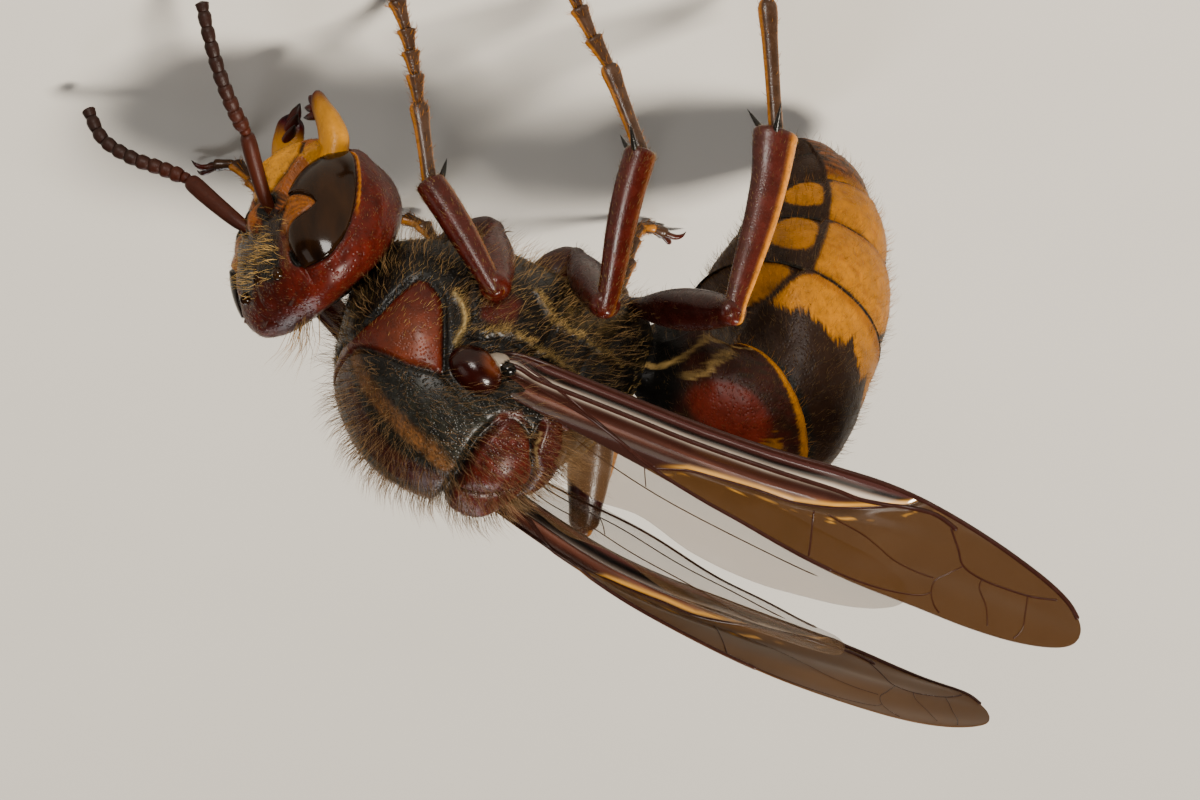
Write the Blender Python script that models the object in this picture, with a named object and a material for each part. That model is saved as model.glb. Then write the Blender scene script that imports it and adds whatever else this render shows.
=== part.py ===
"""A worker of the european hornet, standing on its six feet with the abdomen curled under, at life size.

Metres, +Z up, +X towards the head, +Y to the animal's left. Sizes below are in millimetres and are turned
into metres where a mesh is made. Most places are given from the waist, the joint of thorax and abdomen.
"""

import math

import bmesh
import bpy
import numpy as np
from mathutils import Matrix, Vector

MM = 0.001
GAP = 0.3                      # space kept between two neighbouring pieces
WAIST_HEIGHT = 9.4             # of the waist above the floor
THORAX_PITCH = 19.0            # degrees, head end down
HEAD_CENTRE = (9.62, -0.3, -3.47)
HEAD_YAW = -12.2               # degrees, to the animal's right
HEAD_PITCH = 21.3              # degrees, face down
HEAD_ROLL = -6.7

# Thorax outline in its own frame: distance from the waist, top, bottom, half width.
THORAX_PROFILE = (
    (0.18, 0.45, -0.45, 0.45),
    (0.45, 1.6, -0.8, 1.3),
    (0.9, 2.9, -1.15, 2.05),
    (1.6, 4.3, -1.45, 2.5),
    (2.4, 5.2, -1.6, 2.75),
    (3.6, 5.8, -1.7, 2.92),
    (5.0, 5.95, -1.7, 3.0),
    (6.2, 5.7, -1.5, 2.95),
    (7.2, 5.0, -1.15, 2.65),
    (8.0, 3.95, -0.8, 2.15),
    (8.4, 2.75, -0.6, 1.5),
    (8.55, 0.85, -0.55, 0.65),
)
THORAX_SIDES = 28
THORAX_SQUARENESS = (2.5, 2.2)  # of its section above and below
PROPODEUM_END = 1.25           # where the propodeum meets the metanotum and mesothorax
METANOTUM_END = 2.05           # where the metanotum meets the scutellum
SCUTELLUM_END = 4.1            # where the scutellum meets the mesoscutum
METANOTUM_FLOOR = 3.2          # lower edges of these two plates
SCUTELLUM_FLOOR = 4.4
PRONOTUM_REAR = ((5.74, 3.9), (6.6, 1.15))   # rear edge of its side plate: forward, up
PRONOTUM_UPPER = ((5.72, 3.96), (8.3, 3.2))  # its upper and lower edges, seen from the side
PRONOTUM_LOWER = ((6.55, 1.15), (8.45, 2.6))

# Rear margins of the abdomen segments: centre from the waist, tilt of the axis, dorsal radius.
RIMS = (
    ((-3.85, 0.28, 1.0), 28.7, 2.5),
    ((-5.05, 0.35, -2.22), 64.0, 3.1),
    ((-5.98, 0.42, -4.4), 71.5, 2.55),
    ((-6.36, 0.46, -6.2), 84.2, 1.98),
    ((-6.36, 0.46, -7.6), 93.6, 1.3),
    ((-6.22, 0.45, -8.72), 98.0, 0.22),
)
ABDOMEN_SIDES = 26
ABDOMEN_SQUARENESS = (2.05, 2.05)
ABDOMEN_WIDTH = 1.07           # half width over dorsal radius
ABDOMEN_DROP = 0.9             # ventral radius over dorsal radius
RIM_STEP = 0.93                # next segment's front radius over the rim that laps it

# Head outline in its own frame: height, half width, front, back.
HEAD_PROFILE = (
    (-2.8, 0.8, 1.15, 0.7),
    (-2.45, 1.55, 1.6, 1.5),
    (-1.7, 2.25, 1.85, 1.95),
    (-0.9, 2.7, 1.9, 2.05),
    (0.0, 2.92, 1.82, 1.95),
    (0.8, 3.0, 1.65, 1.7),
    (1.5, 2.85, 1.4, 1.3),
    (2.1, 2.4, 1.05, 1.0),
    (2.5, 1.75, 0.65, 0.75),
    (2.7, 0.95, 0.2, 0.45),
)
HEAD_SIDES = 32
HEAD_SQUARENESS = (2.35, 2.8)    # of its section in front and behind
EYE_CENTRE = (-0.56, 1.82, -0.09)
EYE_RADII = (2.24, 1.2, 2.54)
EYE_LEAN = 8.8                 # degrees, upper end outwards
EYE_YAW = 6.0                  # degrees, front end inwards
EYE_INNER = 1.7                # the eye reaches this far in and back
EYE_REAR = -0.3
EYE_NOTCH = (1.5, 1.95, 0.5)  # middle of the bay in the eye's inner edge
EYE_NOTCH_RADIUS = 0.72
CLYPEUS = ((1.5, 0, -1.3), (0.5, 1.2, 1.08))     # the shield over the mouth: centre and radii
BROW = ((1.55, 0, 0.35), (0.42, 0.5, 0.62))      # the ridge between the antennae
OCELLI = ((1.0, 0, 1.96), (0.62, 0.46, 2.27), (0.62, -0.46, 2.27))
OCELLUS_RADIUS = 0.21
NECK = ((-1.2, 0.25, 0.45), (-2.0, 0.3, 0.45))   # from inside the head to the thorax
NECK_RADIUS = 0.55

# Jaws: middle line, half width and half thickness of the sections, and root and tip of each tooth.
JAW_PATH = ((0.7, 1.3, -1.9), (0.9, 1.42, -2.5), (1.2, 1.32, -3.0), (1.45, 1.1, -3.4), (1.6, 0.85, -3.75),
            (1.68, 0.7, -3.98))
JAW_SECTIONS = ((0.5, 0.45), (0.55, 0.45), (0.52, 0.38), (0.5, 0.3), (0.42, 0.24), (0.22, 0.14))
JAW_TEETH = (((1.62, 0.75, -3.7), (1.75, 0.3, -4.1)), ((1.58, 0.85, -3.5), (1.72, 0.24, -3.72)),
             ((1.5, 1.0, -3.25), (1.66, 0.3, -3.36)))

# Legs: coxa start, hip, knee and ankle, then the ends of the five tarsomeres and the claws.
LEGS = {
    "leg_hind_right": ((1.25, -0.9, -1.0), (0.3, -1.5, -1.43), (-1.33, -5.6, 0.71), (-2.64, -6.9, -4.64),
                       (-2.22, -8.3, -8.2), (-2.35, -9.0, -9.05), (-2.75, -9.8, -9.16),
                       (-3.05, -10.3, -9.16), (-3.6, -11.0, -9.16)),
    "leg_middle_right": ((2.75, -0.9, -2.0), (1.93, -1.5, -2.99), (2.5, -5.18, 0.63), (1.5, -6.6, -3.79),
                         (2.48, -7.2, -6.22), (2.99, -7.45, -6.97), (3.43, -7.7, -7.78),
                         (3.75, -7.9, -8.5), (4.0, -8.15, -9.08), (4.6, -8.6, -9.16)),
    "leg_front_right": ((5.75, -0.75, -2.7), (4.3, -1.25, -3.85), (5.3, -3.69, -0.46), (7.0, -3.6, -3.9),
                        (7.3, -4.1, -6.2), (7.45, -4.4, -7.0), (7.6, -4.6, -7.65),
                        (7.75, -4.8, -8.25), (8.05, -5.05, -9.05), (8.6, -5.45, -9.16)),
    "leg_hind_left": ((1.25, 0.9, -1.0), (0.3, 1.5, -1.43), (0.0, 5.0, 2.48), (-1.6, 6.2, -2.8),
                      (-2.5, 6.7, -6.6), (-2.9, 6.85, -7.7), (-3.15, 6.95, -8.5),
                      (-3.4, 7.1, -9.0), (-3.9, 7.35, -9.16), (-4.5, 7.65, -9.16)),
    "leg_middle_left": ((2.75, 0.9, -2.0), (1.93, 1.5, -2.99), (2.4, 5.1, 0.3), (1.9, 6.7, -4.1),
                        (2.5, 7.2, -6.65), (2.8, 7.4, -7.5), (3.05, 7.55, -8.25),
                        (3.3, 7.7, -8.8), (3.75, 8.0, -9.14), (4.4, 8.35, -9.16)),
    "leg_front_left": ((5.75, 0.75, -2.7), (4.3, 1.25, -3.85), (5.9, 4.3, -1.4), (8.1, 4.4, -4.4),
                       (8.8, 4.6, -6.4), (9.05, 4.8, -7.15), (9.25, 4.95, -7.8),
                       (9.5, 5.1, -8.4), (9.9, 5.4, -9.08), (10.5, 5.75, -9.16)),
}
COXA_RADII = {"hind": (0.78, 0.72, 0.42), "middle": (0.78, 0.7, 0.42), "front": (0.7, 0.62, 0.4)}
FEMUR_RADII = {"hind": 0.66, "middle": 0.6, "front": 0.6}
TIBIA_RADII = {"hind": 0.55, "middle": 0.48, "front": 0.46}
TARSUS_RADIUS = 0.28
FOOT_RADIUS = 0.25
SPURS = {"hind": (50, -50), "middle": (50, -50), "front": (20,)}   # degrees round the tibia's end
SPUR_LENGTH = {"hind": 1.0, "middle": 0.9, "front": 0.75}
SPUR_SPREAD = 46               # degrees between a spur and the tibia
CLAW_LENGTH = 0.7
CLAW_SPREAD = 32

# Wings: the middle line of the folded blade and the direction across it, from the outer edge inwards.
WINGS = {
    "forewing_right": (((5.05, -2.55, 1.6), (4.3, -2.85, 2.0), (-0.09, -3.1, 4.06), (-4.1, -3.4, 6.08),
                        (-7.63, -3.7, 7.6), (-11.6, -4.0, 9.73)), (0.3, 0.61, 0.73)),
    "forewing_left": (((5.05, 2.55, 1.6), (4.3, 2.85, 2.1), (0.43, 3.2, 4.66), (-3.39, 3.4, 6.43),
                       (-8.32, 3.7, 7.9), (-11.9, 4.0, 8.42)), (0.25, -0.45, 0.86)),
    "hindwing_right": (((3.9, -2.0, 1.6), (2.6, -1.65, 2.9), (-0.06, -1.2, 4.36), (-4.07, -1.5, 6.4),
                        (-7.2, -2.0, 7.75)), (0.3, 0.61, 0.73)),
    "hindwing_left": (((3.9, 2.0, 1.6), (2.6, 1.8, 3.1), (0.3, 1.75, 4.5), (-3.4, 2.0, 6.3),
                       (-6.8, 2.3, 7.4)), (0.25, -0.45, 0.86)),
}
WING_WIDTHS = {"forewing": (0.9, 1.5, 2.35, 2.6, 2.5, 2.05, 0.5),
               "hindwing": (0.7, 1.3, 2.1, 2.3, 2.0, 1.4, 0.4)}
WING_THICKNESS = 0.5
WING_STATIONS = {"forewing": 16, "hindwing": 12}
# Each long vein: its place across the blade at root, middle and tip, from -1 at the outer edge to 1.
LONG_VEINS = {"forewing": ((-0.55, -0.74, -0.8), (-0.1, -0.3, -0.2), (0.25, 0.25, 0.3), (0.6, 0.72, 0.7)),
              "hindwing": ((-0.45, -0.7, -0.8), (0.0, 0.0, 0.1), (0.45, 0.55, 0.5))}
# Each cross vein: its place along the blade and the two long veins that it joins.
CROSS_VEINS = {"forewing": ((0.5, 1, 2), (0.62, 0, 1), (0.72, 1, 3), (0.8, 0, 1)),
               "hindwing": ((0.55, 0, 1),)}
VEIN_HALF_WIDTH = {"forewing": 0.08, "hindwing": 0.1}
VEIN_HEIGHT = 0.16
CROSS_VEIN_HALF_LENGTH = 0.012
STIGMA = (0.665, 0.76)         # the dark swelling in the forewing's outer edge

COLOURS = {
    "head": ((0.23, 0.03, 0.012), 0.4),
    "eye": ((0.035, 0.012, 0.006), 0.08),
    "mandible": ((0.5, 0.2, 0.03), 0.35),
    "antenna": ((0.16, 0.035, 0.012), 0.45),
    "thorax": ((0.03, 0.018, 0.012), 0.5),
    "plate": ((0.2, 0.032, 0.012), 0.35),
    "abdomen_front": ((0.12, 0.022, 0.01), 0.4),
    "abdomen_rear": ((0.75, 0.4, 0.03), 0.4),
    "femur": ((0.05, 0.012, 0.008), 0.35),
    "leg": ((0.17, 0.028, 0.01), 0.35),
    "wing": ((0.3, 0.13, 0.04), 0.3),
}

THORAX = Matrix.Translation((0, 0, WAIST_HEIGHT)) @ Matrix.Rotation(math.radians(THORAX_PITCH), 4, "Y")
HEAD = (Matrix.Translation((HEAD_CENTRE[0], HEAD_CENTRE[1], HEAD_CENTRE[2] + WAIST_HEIGHT))
        @ Matrix.Rotation(math.radians(HEAD_YAW), 4, "Z")
        @ Matrix.Rotation(math.radians(HEAD_PITCH), 4, "Y")
        @ Matrix.Rotation(math.radians(HEAD_ROLL), 4, "X"))


def clear_scene():
    for obj in list(bpy.data.objects):
        bpy.data.objects.remove(obj, do_unlink=True)


def new_collection(name, hidden=False):
    collection = bpy.data.collections.new(name)
    collection.hide_render = hidden
    bpy.context.scene.collection.children.link(collection)
    return collection


def paint(obj, colour_name):
    colour, roughness = COLOURS[colour_name]
    material = bpy.data.materials.new(obj.name)
    material.use_nodes = True
    shader = material.node_tree.nodes["Principled BSDF"]
    shader.inputs["Base Color"].default_value = (*colour, 1)
    shader.inputs["Roughness"].default_value = roughness
    obj.data.materials.clear()
    obj.data.materials.append(material)


def from_waist(point):
    """A point given from the waist, as a place above the floor."""
    return Vector((point[0], point[1], point[2] + WAIST_HEIGHT))


def add_object(name, mesh, collection):
    obj = bpy.data.objects.new(name, mesh)
    collection.objects.link(obj)
    return obj


def finish_mesh(bm, name, collection):
    bmesh.ops.recalc_face_normals(bm, faces=bm.faces)
    mesh = bpy.data.meshes.new(name)
    bm.to_mesh(mesh)
    bm.free()
    return add_object(name, mesh, collection)


def loft(name, rings, collection, mirrored=False):
    """A closed body through rings of equal count, given in millimetres, with flat ends.

    A mirrored loft is a blade whose two faces are split into triangles alike.
    """
    bm = bmesh.new()
    rows = [[bm.verts.new(Vector(point) * MM) for point in ring] for ring in rings]
    for lower, upper in zip(rows, rows[1:]):
        for k, corner in enumerate(lower):
            after = (k + 1) % len(lower)
            if not mirrored:
                bm.faces.new((corner, lower[after], upper[after], upper[k]))
            elif k < len(lower) // 2:
                bm.faces.new((corner, lower[after], upper[after]))
                bm.faces.new((corner, upper[after], upper[k]))
            else:
                bm.faces.new((corner, lower[after], upper[k]))
                bm.faces.new((lower[after], upper[after], upper[k]))
    bm.faces.new(rows[0])
    bm.faces.new(rows[-1])
    return finish_mesh(bm, name, collection)


def tube(name, points, radii, collection, resolution=2):
    """A round limb along points, each with its own radius."""
    curve = bpy.data.curves.new(name, "CURVE")
    curve.dimensions = "3D"
    curve.bevel_depth = MM
    curve.bevel_resolution = resolution
    curve.use_fill_caps = True
    spline = curve.splines.new("POLY")
    spline.points.add(len(points) - 1)
    for spot, point, radius in zip(spline.points, points, radii):
        spot.co = (*(Vector(point) * MM), 1)
        spot.radius = radius
    guide = add_object(name + "_guide", curve, collection)
    bpy.context.view_layer.update()
    evaluated = guide.evaluated_get(bpy.context.evaluated_depsgraph_get())
    mesh = bpy.data.meshes.new_from_object(evaluated)
    obj = add_object(name, mesh, collection)
    obj.matrix_world = guide.matrix_world
    bpy.data.objects.remove(guide)
    bm = bmesh.new()
    bm.from_mesh(mesh)
    bmesh.ops.remove_doubles(bm, verts=bm.verts, dist=MM * 0.001)
    bmesh.ops.recalc_face_normals(bm, faces=bm.faces)
    bm.to_mesh(mesh)
    bm.free()
    return obj


def ellipsoid(name, matrix, radii, collection, segments=24, rings=14):
    bm = bmesh.new()
    bmesh.ops.create_uvsphere(bm, u_segments=segments, v_segments=rings, radius=1)
    shape = matrix @ Matrix.Diagonal((*radii, 1))
    bmesh.ops.transform(bm, matrix=Matrix.Scale(MM, 4) @ shape, verts=bm.verts)
    return finish_mesh(bm, name, collection)


def cut_flat(obj, point, normal):
    """Takes away what lies beyond the plane on the side that the normal points to, and closes the cut."""
    bm = bmesh.new()
    bm.from_mesh(obj.data)
    everything = bm.verts[:] + bm.edges[:] + bm.faces[:]
    bmesh.ops.bisect_plane(bm, geom=everything, dist=MM * 0.0005, plane_co=Vector(point) * MM,
                           plane_no=Vector(normal), clear_outer=True)
    border = [edge for edge in bm.edges if edge.is_boundary]
    if border:
        bmesh.ops.holes_fill(bm, edges=border, sides=0)
    bmesh.ops.recalc_face_normals(bm, faces=bm.faces)
    bm.to_mesh(obj.data)
    bm.free()


def copy_of(obj, name, collection):
    return add_object(name, obj.data.copy(), collection)


def apply_boolean(obj, other, operation, solver="EXACT"):
    modifier = obj.modifiers.new(operation, "BOOLEAN")
    modifier.operation = operation
    modifier.solver = solver
    modifier.object = other
    bpy.context.view_layer.update()
    evaluated = obj.evaluated_get(bpy.context.evaluated_depsgraph_get())
    mesh = bpy.data.meshes.new_from_object(evaluated)
    obj.modifiers.clear()
    obj.data = mesh


def keep_largest(obj):
    """Keeps the largest closed surface and drops the rest."""
    bm = bmesh.new()
    bm.from_mesh(obj.data)
    bmesh.ops.remove_doubles(bm, verts=bm.verts, dist=MM * 0.0005)
    bmesh.ops.dissolve_degenerate(bm, edges=bm.edges, dist=MM * 0.001)
    bm.faces.ensure_lookup_table()
    groups = []
    seen = set()
    for start in bm.faces:
        if start in seen:
            continue
        group = [start]
        seen.add(start)
        for face in group:
            for edge in face.edges:
                for other in edge.link_faces:
                    if other not in seen:
                        seen.add(other)
                        group.append(other)
        groups.append(group)
    groups.sort(key=lambda group: sum(face.calc_area() for face in group))
    spare = [face for group in groups[:-1] for face in group]
    bmesh.ops.delete(bm, geom=spare, context="FACES")
    bm.to_mesh(obj.data)
    bm.free()


def join(obj, *others):
    for other in others:
        apply_boolean(obj, other, "UNION")
    keep_largest(obj)


def trim(obj, cutters):
    for cutter in cutters:
        apply_boolean(obj, cutter, "DIFFERENCE")
    keep_largest(obj)


def eased(values, fractions):
    """Values along a smooth curve through evenly numbered knots."""
    knots = np.asarray(values, float)
    last = len(knots) - 1
    result = []
    for fraction in fractions:
        place = min(fraction * last, last - 1e-9)
        index = int(place)
        step = place - index
        before = knots[max(index - 1, 0)]
        start, end = knots[index], knots[index + 1]
        after = knots[min(index + 2, last)]
        result.append(0.5 * (2 * start + (end - before) * step
                             + (2 * before - 5 * start + 4 * end - after) * step ** 2
                             + (3 * start - before - 3 * end + after) * step ** 3))
    return np.array(result)


def power(value, exponent):
    return math.copysign(abs(value) ** exponent, value)


def oval(centre, side, up, half_width, rise, drop, count, squareness=(2.2, 2.2)):
    """A ring round a centre, with its own height and squareness above and below it."""
    points = []
    for k in range(count):
        angle = 2 * math.pi * (k + 0.5) / count
        above = math.sin(angle) > 0
        exponent = 2 / squareness[0 if above else 1]
        across = power(math.cos(angle), exponent) * half_width
        height = power(math.sin(angle), exponent) * (rise if above else drop)
        points.append(Vector(centre) + Vector(side) * across + Vector(up) * height)
    return points


def thorax_body(name, collection, extra=0.0):
    """The whole thorax, or its outline grown by some millimetres."""
    rings = []
    fractions = np.linspace(0, 1, 2 * len(THORAX_PROFILE) - 1)
    for forward, top, bottom, half in eased(THORAX_PROFILE, fractions):
        middle = 0.35 * top + 0.65 * bottom
        shift = extra * (2 * forward / THORAX_PROFILE[-1][0] - 1)
        centre = THORAX @ Vector((forward + shift, 0, middle))
        up = THORAX.to_3x3() @ Vector((0, 0, 1))
        rings.append(oval(centre, (0, 1, 0), up, half + extra, top - middle + extra,
                          middle - bottom + extra, THORAX_SIDES, THORAX_SQUARENESS))
    return loft(name, rings, collection)


def thorax_cut(obj, place, normal, shift):
    """Cuts by a plane given in the thorax frame, moved back from the piece by half the gap."""
    normal = Vector(normal).normalized()
    point = THORAX @ (Vector(place) - normal * shift)
    cut_flat(obj, point, THORAX.to_3x3() @ normal)


def cut_along(obj, line, upwards, shift):
    """Cuts away what lies above, or below, a line given in the thorax's side view, with a shift."""
    (rear, low), (front, high) = line
    normal = Vector((low - high, 0, front - rear)) * (1 if upwards else -1)
    thorax_cut(obj, (rear, 0, low), normal, shift)


def cut_pronotum(obj, shift):
    """Leaves the collar between its upper and lower edges, ahead of its rear edge."""
    (high_back, high), (low_back, low) = PRONOTUM_REAR
    thorax_cut(obj, (high_back, 0, high), (low - high, 0, high_back - low_back), shift)
    cut_along(obj, PRONOTUM_UPPER, True, shift)
    cut_along(obj, PRONOTUM_LOWER, False, shift)


def cut_back_plate(obj, rear, front, floor, shift):
    """Leaves the part of the back between two cross planes and above the plate's lower edge."""
    thorax_cut(obj, (rear, 0, 0), (-1, 0, 0), shift)
    thorax_cut(obj, (front, 0, 0), (1, 0, 0), shift)
    thorax_cut(obj, (0, 0, floor), (0, 0, -1), shift)


def make_thorax(parts, guides):
    whole = thorax_body("thorax_whole", guides)
    grown = thorax_body("thorax_grown", guides, GAP)
    half_gap = GAP / 2

    propodeum = copy_of(whole, "propodeum", parts)
    thorax_cut(propodeum, (PROPODEUM_END, 0, 0), (1, 0, 0), half_gap)
    mesothorax = copy_of(whole, "mesothorax", parts)
    thorax_cut(mesothorax, (PROPODEUM_END, 0, 0), (-1, 0, 0), half_gap)

    pronotum = copy_of(whole, "pronotum", parts)
    cut_pronotum(pronotum, half_gap)
    pronotum_room = copy_of(grown, "pronotum_room", guides)
    cut_pronotum(pronotum_room, -half_gap)

    rooms = [pronotum_room]
    plates = [pronotum]
    for name, rear, front, floor in (("metanotum", PROPODEUM_END, METANOTUM_END, METANOTUM_FLOOR),
                                     ("scutellum", METANOTUM_END, SCUTELLUM_END, SCUTELLUM_FLOOR)):
        plate = copy_of(whole, name, parts)
        cut_back_plate(plate, rear, front, floor, half_gap)
        plates.append(plate)
        room = copy_of(grown, name + "_room", guides)
        cut_back_plate(room, rear - GAP, front, floor, -half_gap)
        rooms.append(room)
    trim(mesothorax, rooms)
    paint(propodeum, "thorax")
    paint(mesothorax, "thorax")
    for plate in plates:
        paint(plate, "plate")
    return grown


def make_tegulae(parts, guides, thorax_room):
    """The small shell over each wing root, and the grown copy that the wings keep clear of."""
    rooms = []
    for side, word in ((1, "left"), (-1, "right")):
        centre = from_waist((5.8, side * 2.8, 1.75))
        turn = (Matrix.Translation(centre) @ Matrix.Rotation(math.radians(THORAX_PITCH + 20), 4, "Y")
                @ Matrix.Rotation(math.radians(side * -28), 4, "X"))
        shell = ellipsoid("tegula_" + word, turn, (0.85, 0.62, 0.66), parts, 16, 10)
        rooms.append(ellipsoid("tegula_room_" + word, turn, (0.85 + GAP, 0.62 + GAP, 0.66 + GAP), guides, 16, 10))
        trim(shell, (thorax_room,))
        paint(shell, "plate")
    return rooms


def abdomen_axes(tilt, yaw=4.2):
    """Heading, dorsal and side directions for a tilt of the axis below the level, going back."""
    tilt, yaw = math.radians(tilt), math.radians(yaw)
    flat = Vector((-math.cos(yaw), math.sin(yaw), 0))
    heading = flat * math.cos(tilt) + Vector((0, 0, -math.sin(tilt)))
    dorsal = flat * math.sin(tilt) + Vector((0, 0, math.cos(tilt)))
    return heading, dorsal, heading.cross(dorsal)


def abdomen_rings(start, end, profile):
    """Rings between two stations (centre, tilt), with a radius for each of the evenly placed rings."""
    (first, first_tilt), (last, last_tilt) = start, end
    reach = (last - first).length
    out = abdomen_axes(first_tilt)[0] * reach
    arrive = abdomen_axes(last_tilt)[0] * reach
    rings = []
    for fraction, radius in profile:
        f = fraction
        centre = ((2 * f ** 3 - 3 * f ** 2 + 1) * first + (f ** 3 - 2 * f ** 2 + f) * out
                  + (3 * f ** 2 - 2 * f ** 3) * last + (f ** 3 - f ** 2) * arrive)
        _, dorsal, side = abdomen_axes(first_tilt + (last_tilt - first_tilt) * f)
        rings.append(oval(centre, side, dorsal, radius * ABDOMEN_WIDTH, radius, radius * ABDOMEN_DROP,
                          ABDOMEN_SIDES, ABDOMEN_SQUARENESS))
    return rings


def make_abdomen(parts):
    waist = from_waist((-0.15, 0, 0))
    centre, tilt, radius = RIMS[0]
    first = ((0.0, 0.42), (0.1, 0.62), (0.22, 1.25), (0.4, 1.95), (0.6, 2.32), (0.8, 2.47), (0.96, 2.5),
             (1.0, radius - 0.04))
    rings = abdomen_rings((waist, -16.0), (from_waist(centre), tilt), first)
    paint(loft("abdomen_1", rings, parts), "abdomen_front")
    for k, (before, after) in enumerate(zip(RIMS, RIMS[1:]), 2):
        start_radius = before[2] * RIM_STEP
        end_radius = after[2]
        swell = 0.12 if k < 6 else 0.22
        profile = []
        for fraction in (0.0, 0.12, 0.3, 0.5, 0.7, 0.86, 0.97, 1.0):
            size = start_radius + (end_radius - start_radius) * fraction
            size += swell * math.sin(math.pi * fraction) * start_radius / 2
            profile.append((fraction, size))
        heading = abdomen_axes(before[1])[0]
        start = from_waist(before[0]) + heading * GAP
        rings = abdomen_rings((start, before[1]), (from_waist(after[0]), after[1]), profile)
        paint(loft(f"abdomen_{k}", rings, parts), "abdomen_front" if k == 2 else "abdomen_rear")


def head_body(name, collection, extra=0.0):
    rings = []
    fractions = np.linspace(0, 1, 2 * len(HEAD_PROFILE) - 1)
    for height, half, front, back in eased(HEAD_PROFILE, fractions):
        middle = (front - back) / 2
        reach = (front + back) / 2 + extra
        shift = extra * height / HEAD_PROFILE[-1][0]
        centre = HEAD @ Vector((middle, 0, height + shift))
        turned = HEAD.to_3x3()
        rings.append(oval(centre, turned @ Vector((0, 1, 0)), turned @ Vector((1, 0, 0)), half + extra,
                          reach, reach, HEAD_SIDES, HEAD_SQUARENESS))
    return loft(name, rings, collection)


def head_lump(name, centre, radii, collection, segments=16, rings=10):
    return ellipsoid(name, HEAD @ Matrix.Translation(centre), radii, collection, segments, rings)


def eye_body(name, side, collection, guides, extra=0.0):
    """One compound eye, cut flat inside the head, or its socket when grown by some millimetres."""
    x, y, z = EYE_CENTRE
    place = (HEAD @ Matrix.Translation((x, side * y, z))
             @ Matrix.Rotation(math.radians(-side * EYE_YAW), 4, "Z")
             @ Matrix.Rotation(math.radians(-side * EYE_LEAN), 4, "X"))
    radii = [radius + extra for radius in EYE_RADII]
    eye = ellipsoid(name, place, radii, collection, 36, 18)
    turned = HEAD.to_3x3()
    cut_flat(eye, HEAD @ Vector((0, side * (EYE_INNER - extra), 0)), turned @ Vector((0, -side, 0)))
    cut_flat(eye, HEAD @ Vector((EYE_REAR - extra, 0, 0)), turned @ Vector((-1, 0, 0)))
    x, y, z = EYE_NOTCH
    size = EYE_NOTCH_RADIUS - extra
    notch = head_lump(name + "_notch", (x, side * y, z), (size, size, size), guides)
    trim(eye, (notch,))
    return eye


def make_head(parts, guides, thorax_room):
    head = head_body("head", parts)
    for number, (centre, radii) in enumerate((CLYPEUS, BROW)):
        join(head, head_lump(f"face_lump_{number}", centre, radii, guides))
    for number, centre in enumerate(OCELLI):
        radii = (OCELLUS_RADIUS,) * 3
        join(head, head_lump(f"ocellus_{number}", centre, radii, guides, 10, 6))
    neck = [HEAD @ Vector(point) for point in NECK]
    join(head, tube("neck", neck, (NECK_RADIUS, NECK_RADIUS * 0.9), guides))
    for side, word in ((1, "left"), (-1, "right")):
        paint(eye_body("eye_" + word, side, parts, guides), "eye")
        trim(head, (eye_body("socket_" + word, side, guides, guides, GAP),))
    trim(head, (thorax_room,))
    paint(head, "head")
    return head_body("head_grown", guides, GAP)


def in_head(points, side):
    return [HEAD @ Vector((x, side * y, z)) for x, y, z in points]


def make_mouth(parts, guides, head_room):
    """Two broad jaws that close below the shield, each with teeth on its inner edge."""
    turned = HEAD.to_3x3()
    for side, word in ((1, "left"), (-1, "right")):
        path = in_head(JAW_PATH, side)
        rings = []
        for point, (wide, thin) in zip(path, JAW_SECTIONS):
            across = turned @ Vector((0.1, side * 0.86, 0.5)).normalized()
            over = turned @ Vector((1, -side * 0.1, 0.2)).normalized()
            rings.append(oval(point, across, over, wide, thin, thin, 12))
        jaw = loft("mandible_" + word, rings, parts)
        for number, (root, tip) in enumerate(JAW_TEETH):
            points = in_head((root, tip), side)
            join(jaw, tube(f"tooth_{word}_{number}", points, (0.2, 0.06), guides, 1))
        trim(jaw, (head_room,))
        paint(jaw, "mandible")


def make_antennae(parts, head_room):
    for side, word in ((1, "left"), (-1, "right")):
        lift = 0.7 if side > 0 else 0.0
        scape = in_head(((1.5, 0.7, 0.3), (2.1, 0.95, 0.1), (2.9, 1.45, -0.4), (3.6, 1.9, -0.9)), side)
        feeler = in_head(((3.6, 1.9, -0.9), (4.3, 2.35, -1.05), (5.2, 2.85, -1.5 + lift * 0.5),
                          (6.1, 3.3, -2.2 + lift), (6.8, 3.55, -3.0 + lift)), side)
        elbow = (Vector(scape[-1]) - Vector(scape[-2])).normalized()
        elbow += (Vector(feeler[1]) - Vector(feeler[0])).normalized()
        elbow.normalize()
        base = tube(f"antenna_{word}_scape", scape, (0.27, 0.27, 0.29, 0.32), parts)
        trim(base, (head_room,))
        cut_flat(base, scape[-1] - elbow * GAP / 2, elbow)
        whip = tube(f"antenna_{word}_flagellum", feeler, (0.27, 0.28, 0.29, 0.28, 0.22), parts)
        cut_flat(whip, feeler[0] + elbow * GAP / 2, -elbow)
        paint(base, "antenna")
        paint(whip, "antenna")


def limb_points(start, end, shares):
    return [start.lerp(end, share) for share in shares]


def joint_normal(before, joint, after):
    """The normal of the plane that halves the bend at a joint, pointing along the limb."""
    return ((joint - before).normalized() + (after - joint).normalized()).normalized()


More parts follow.
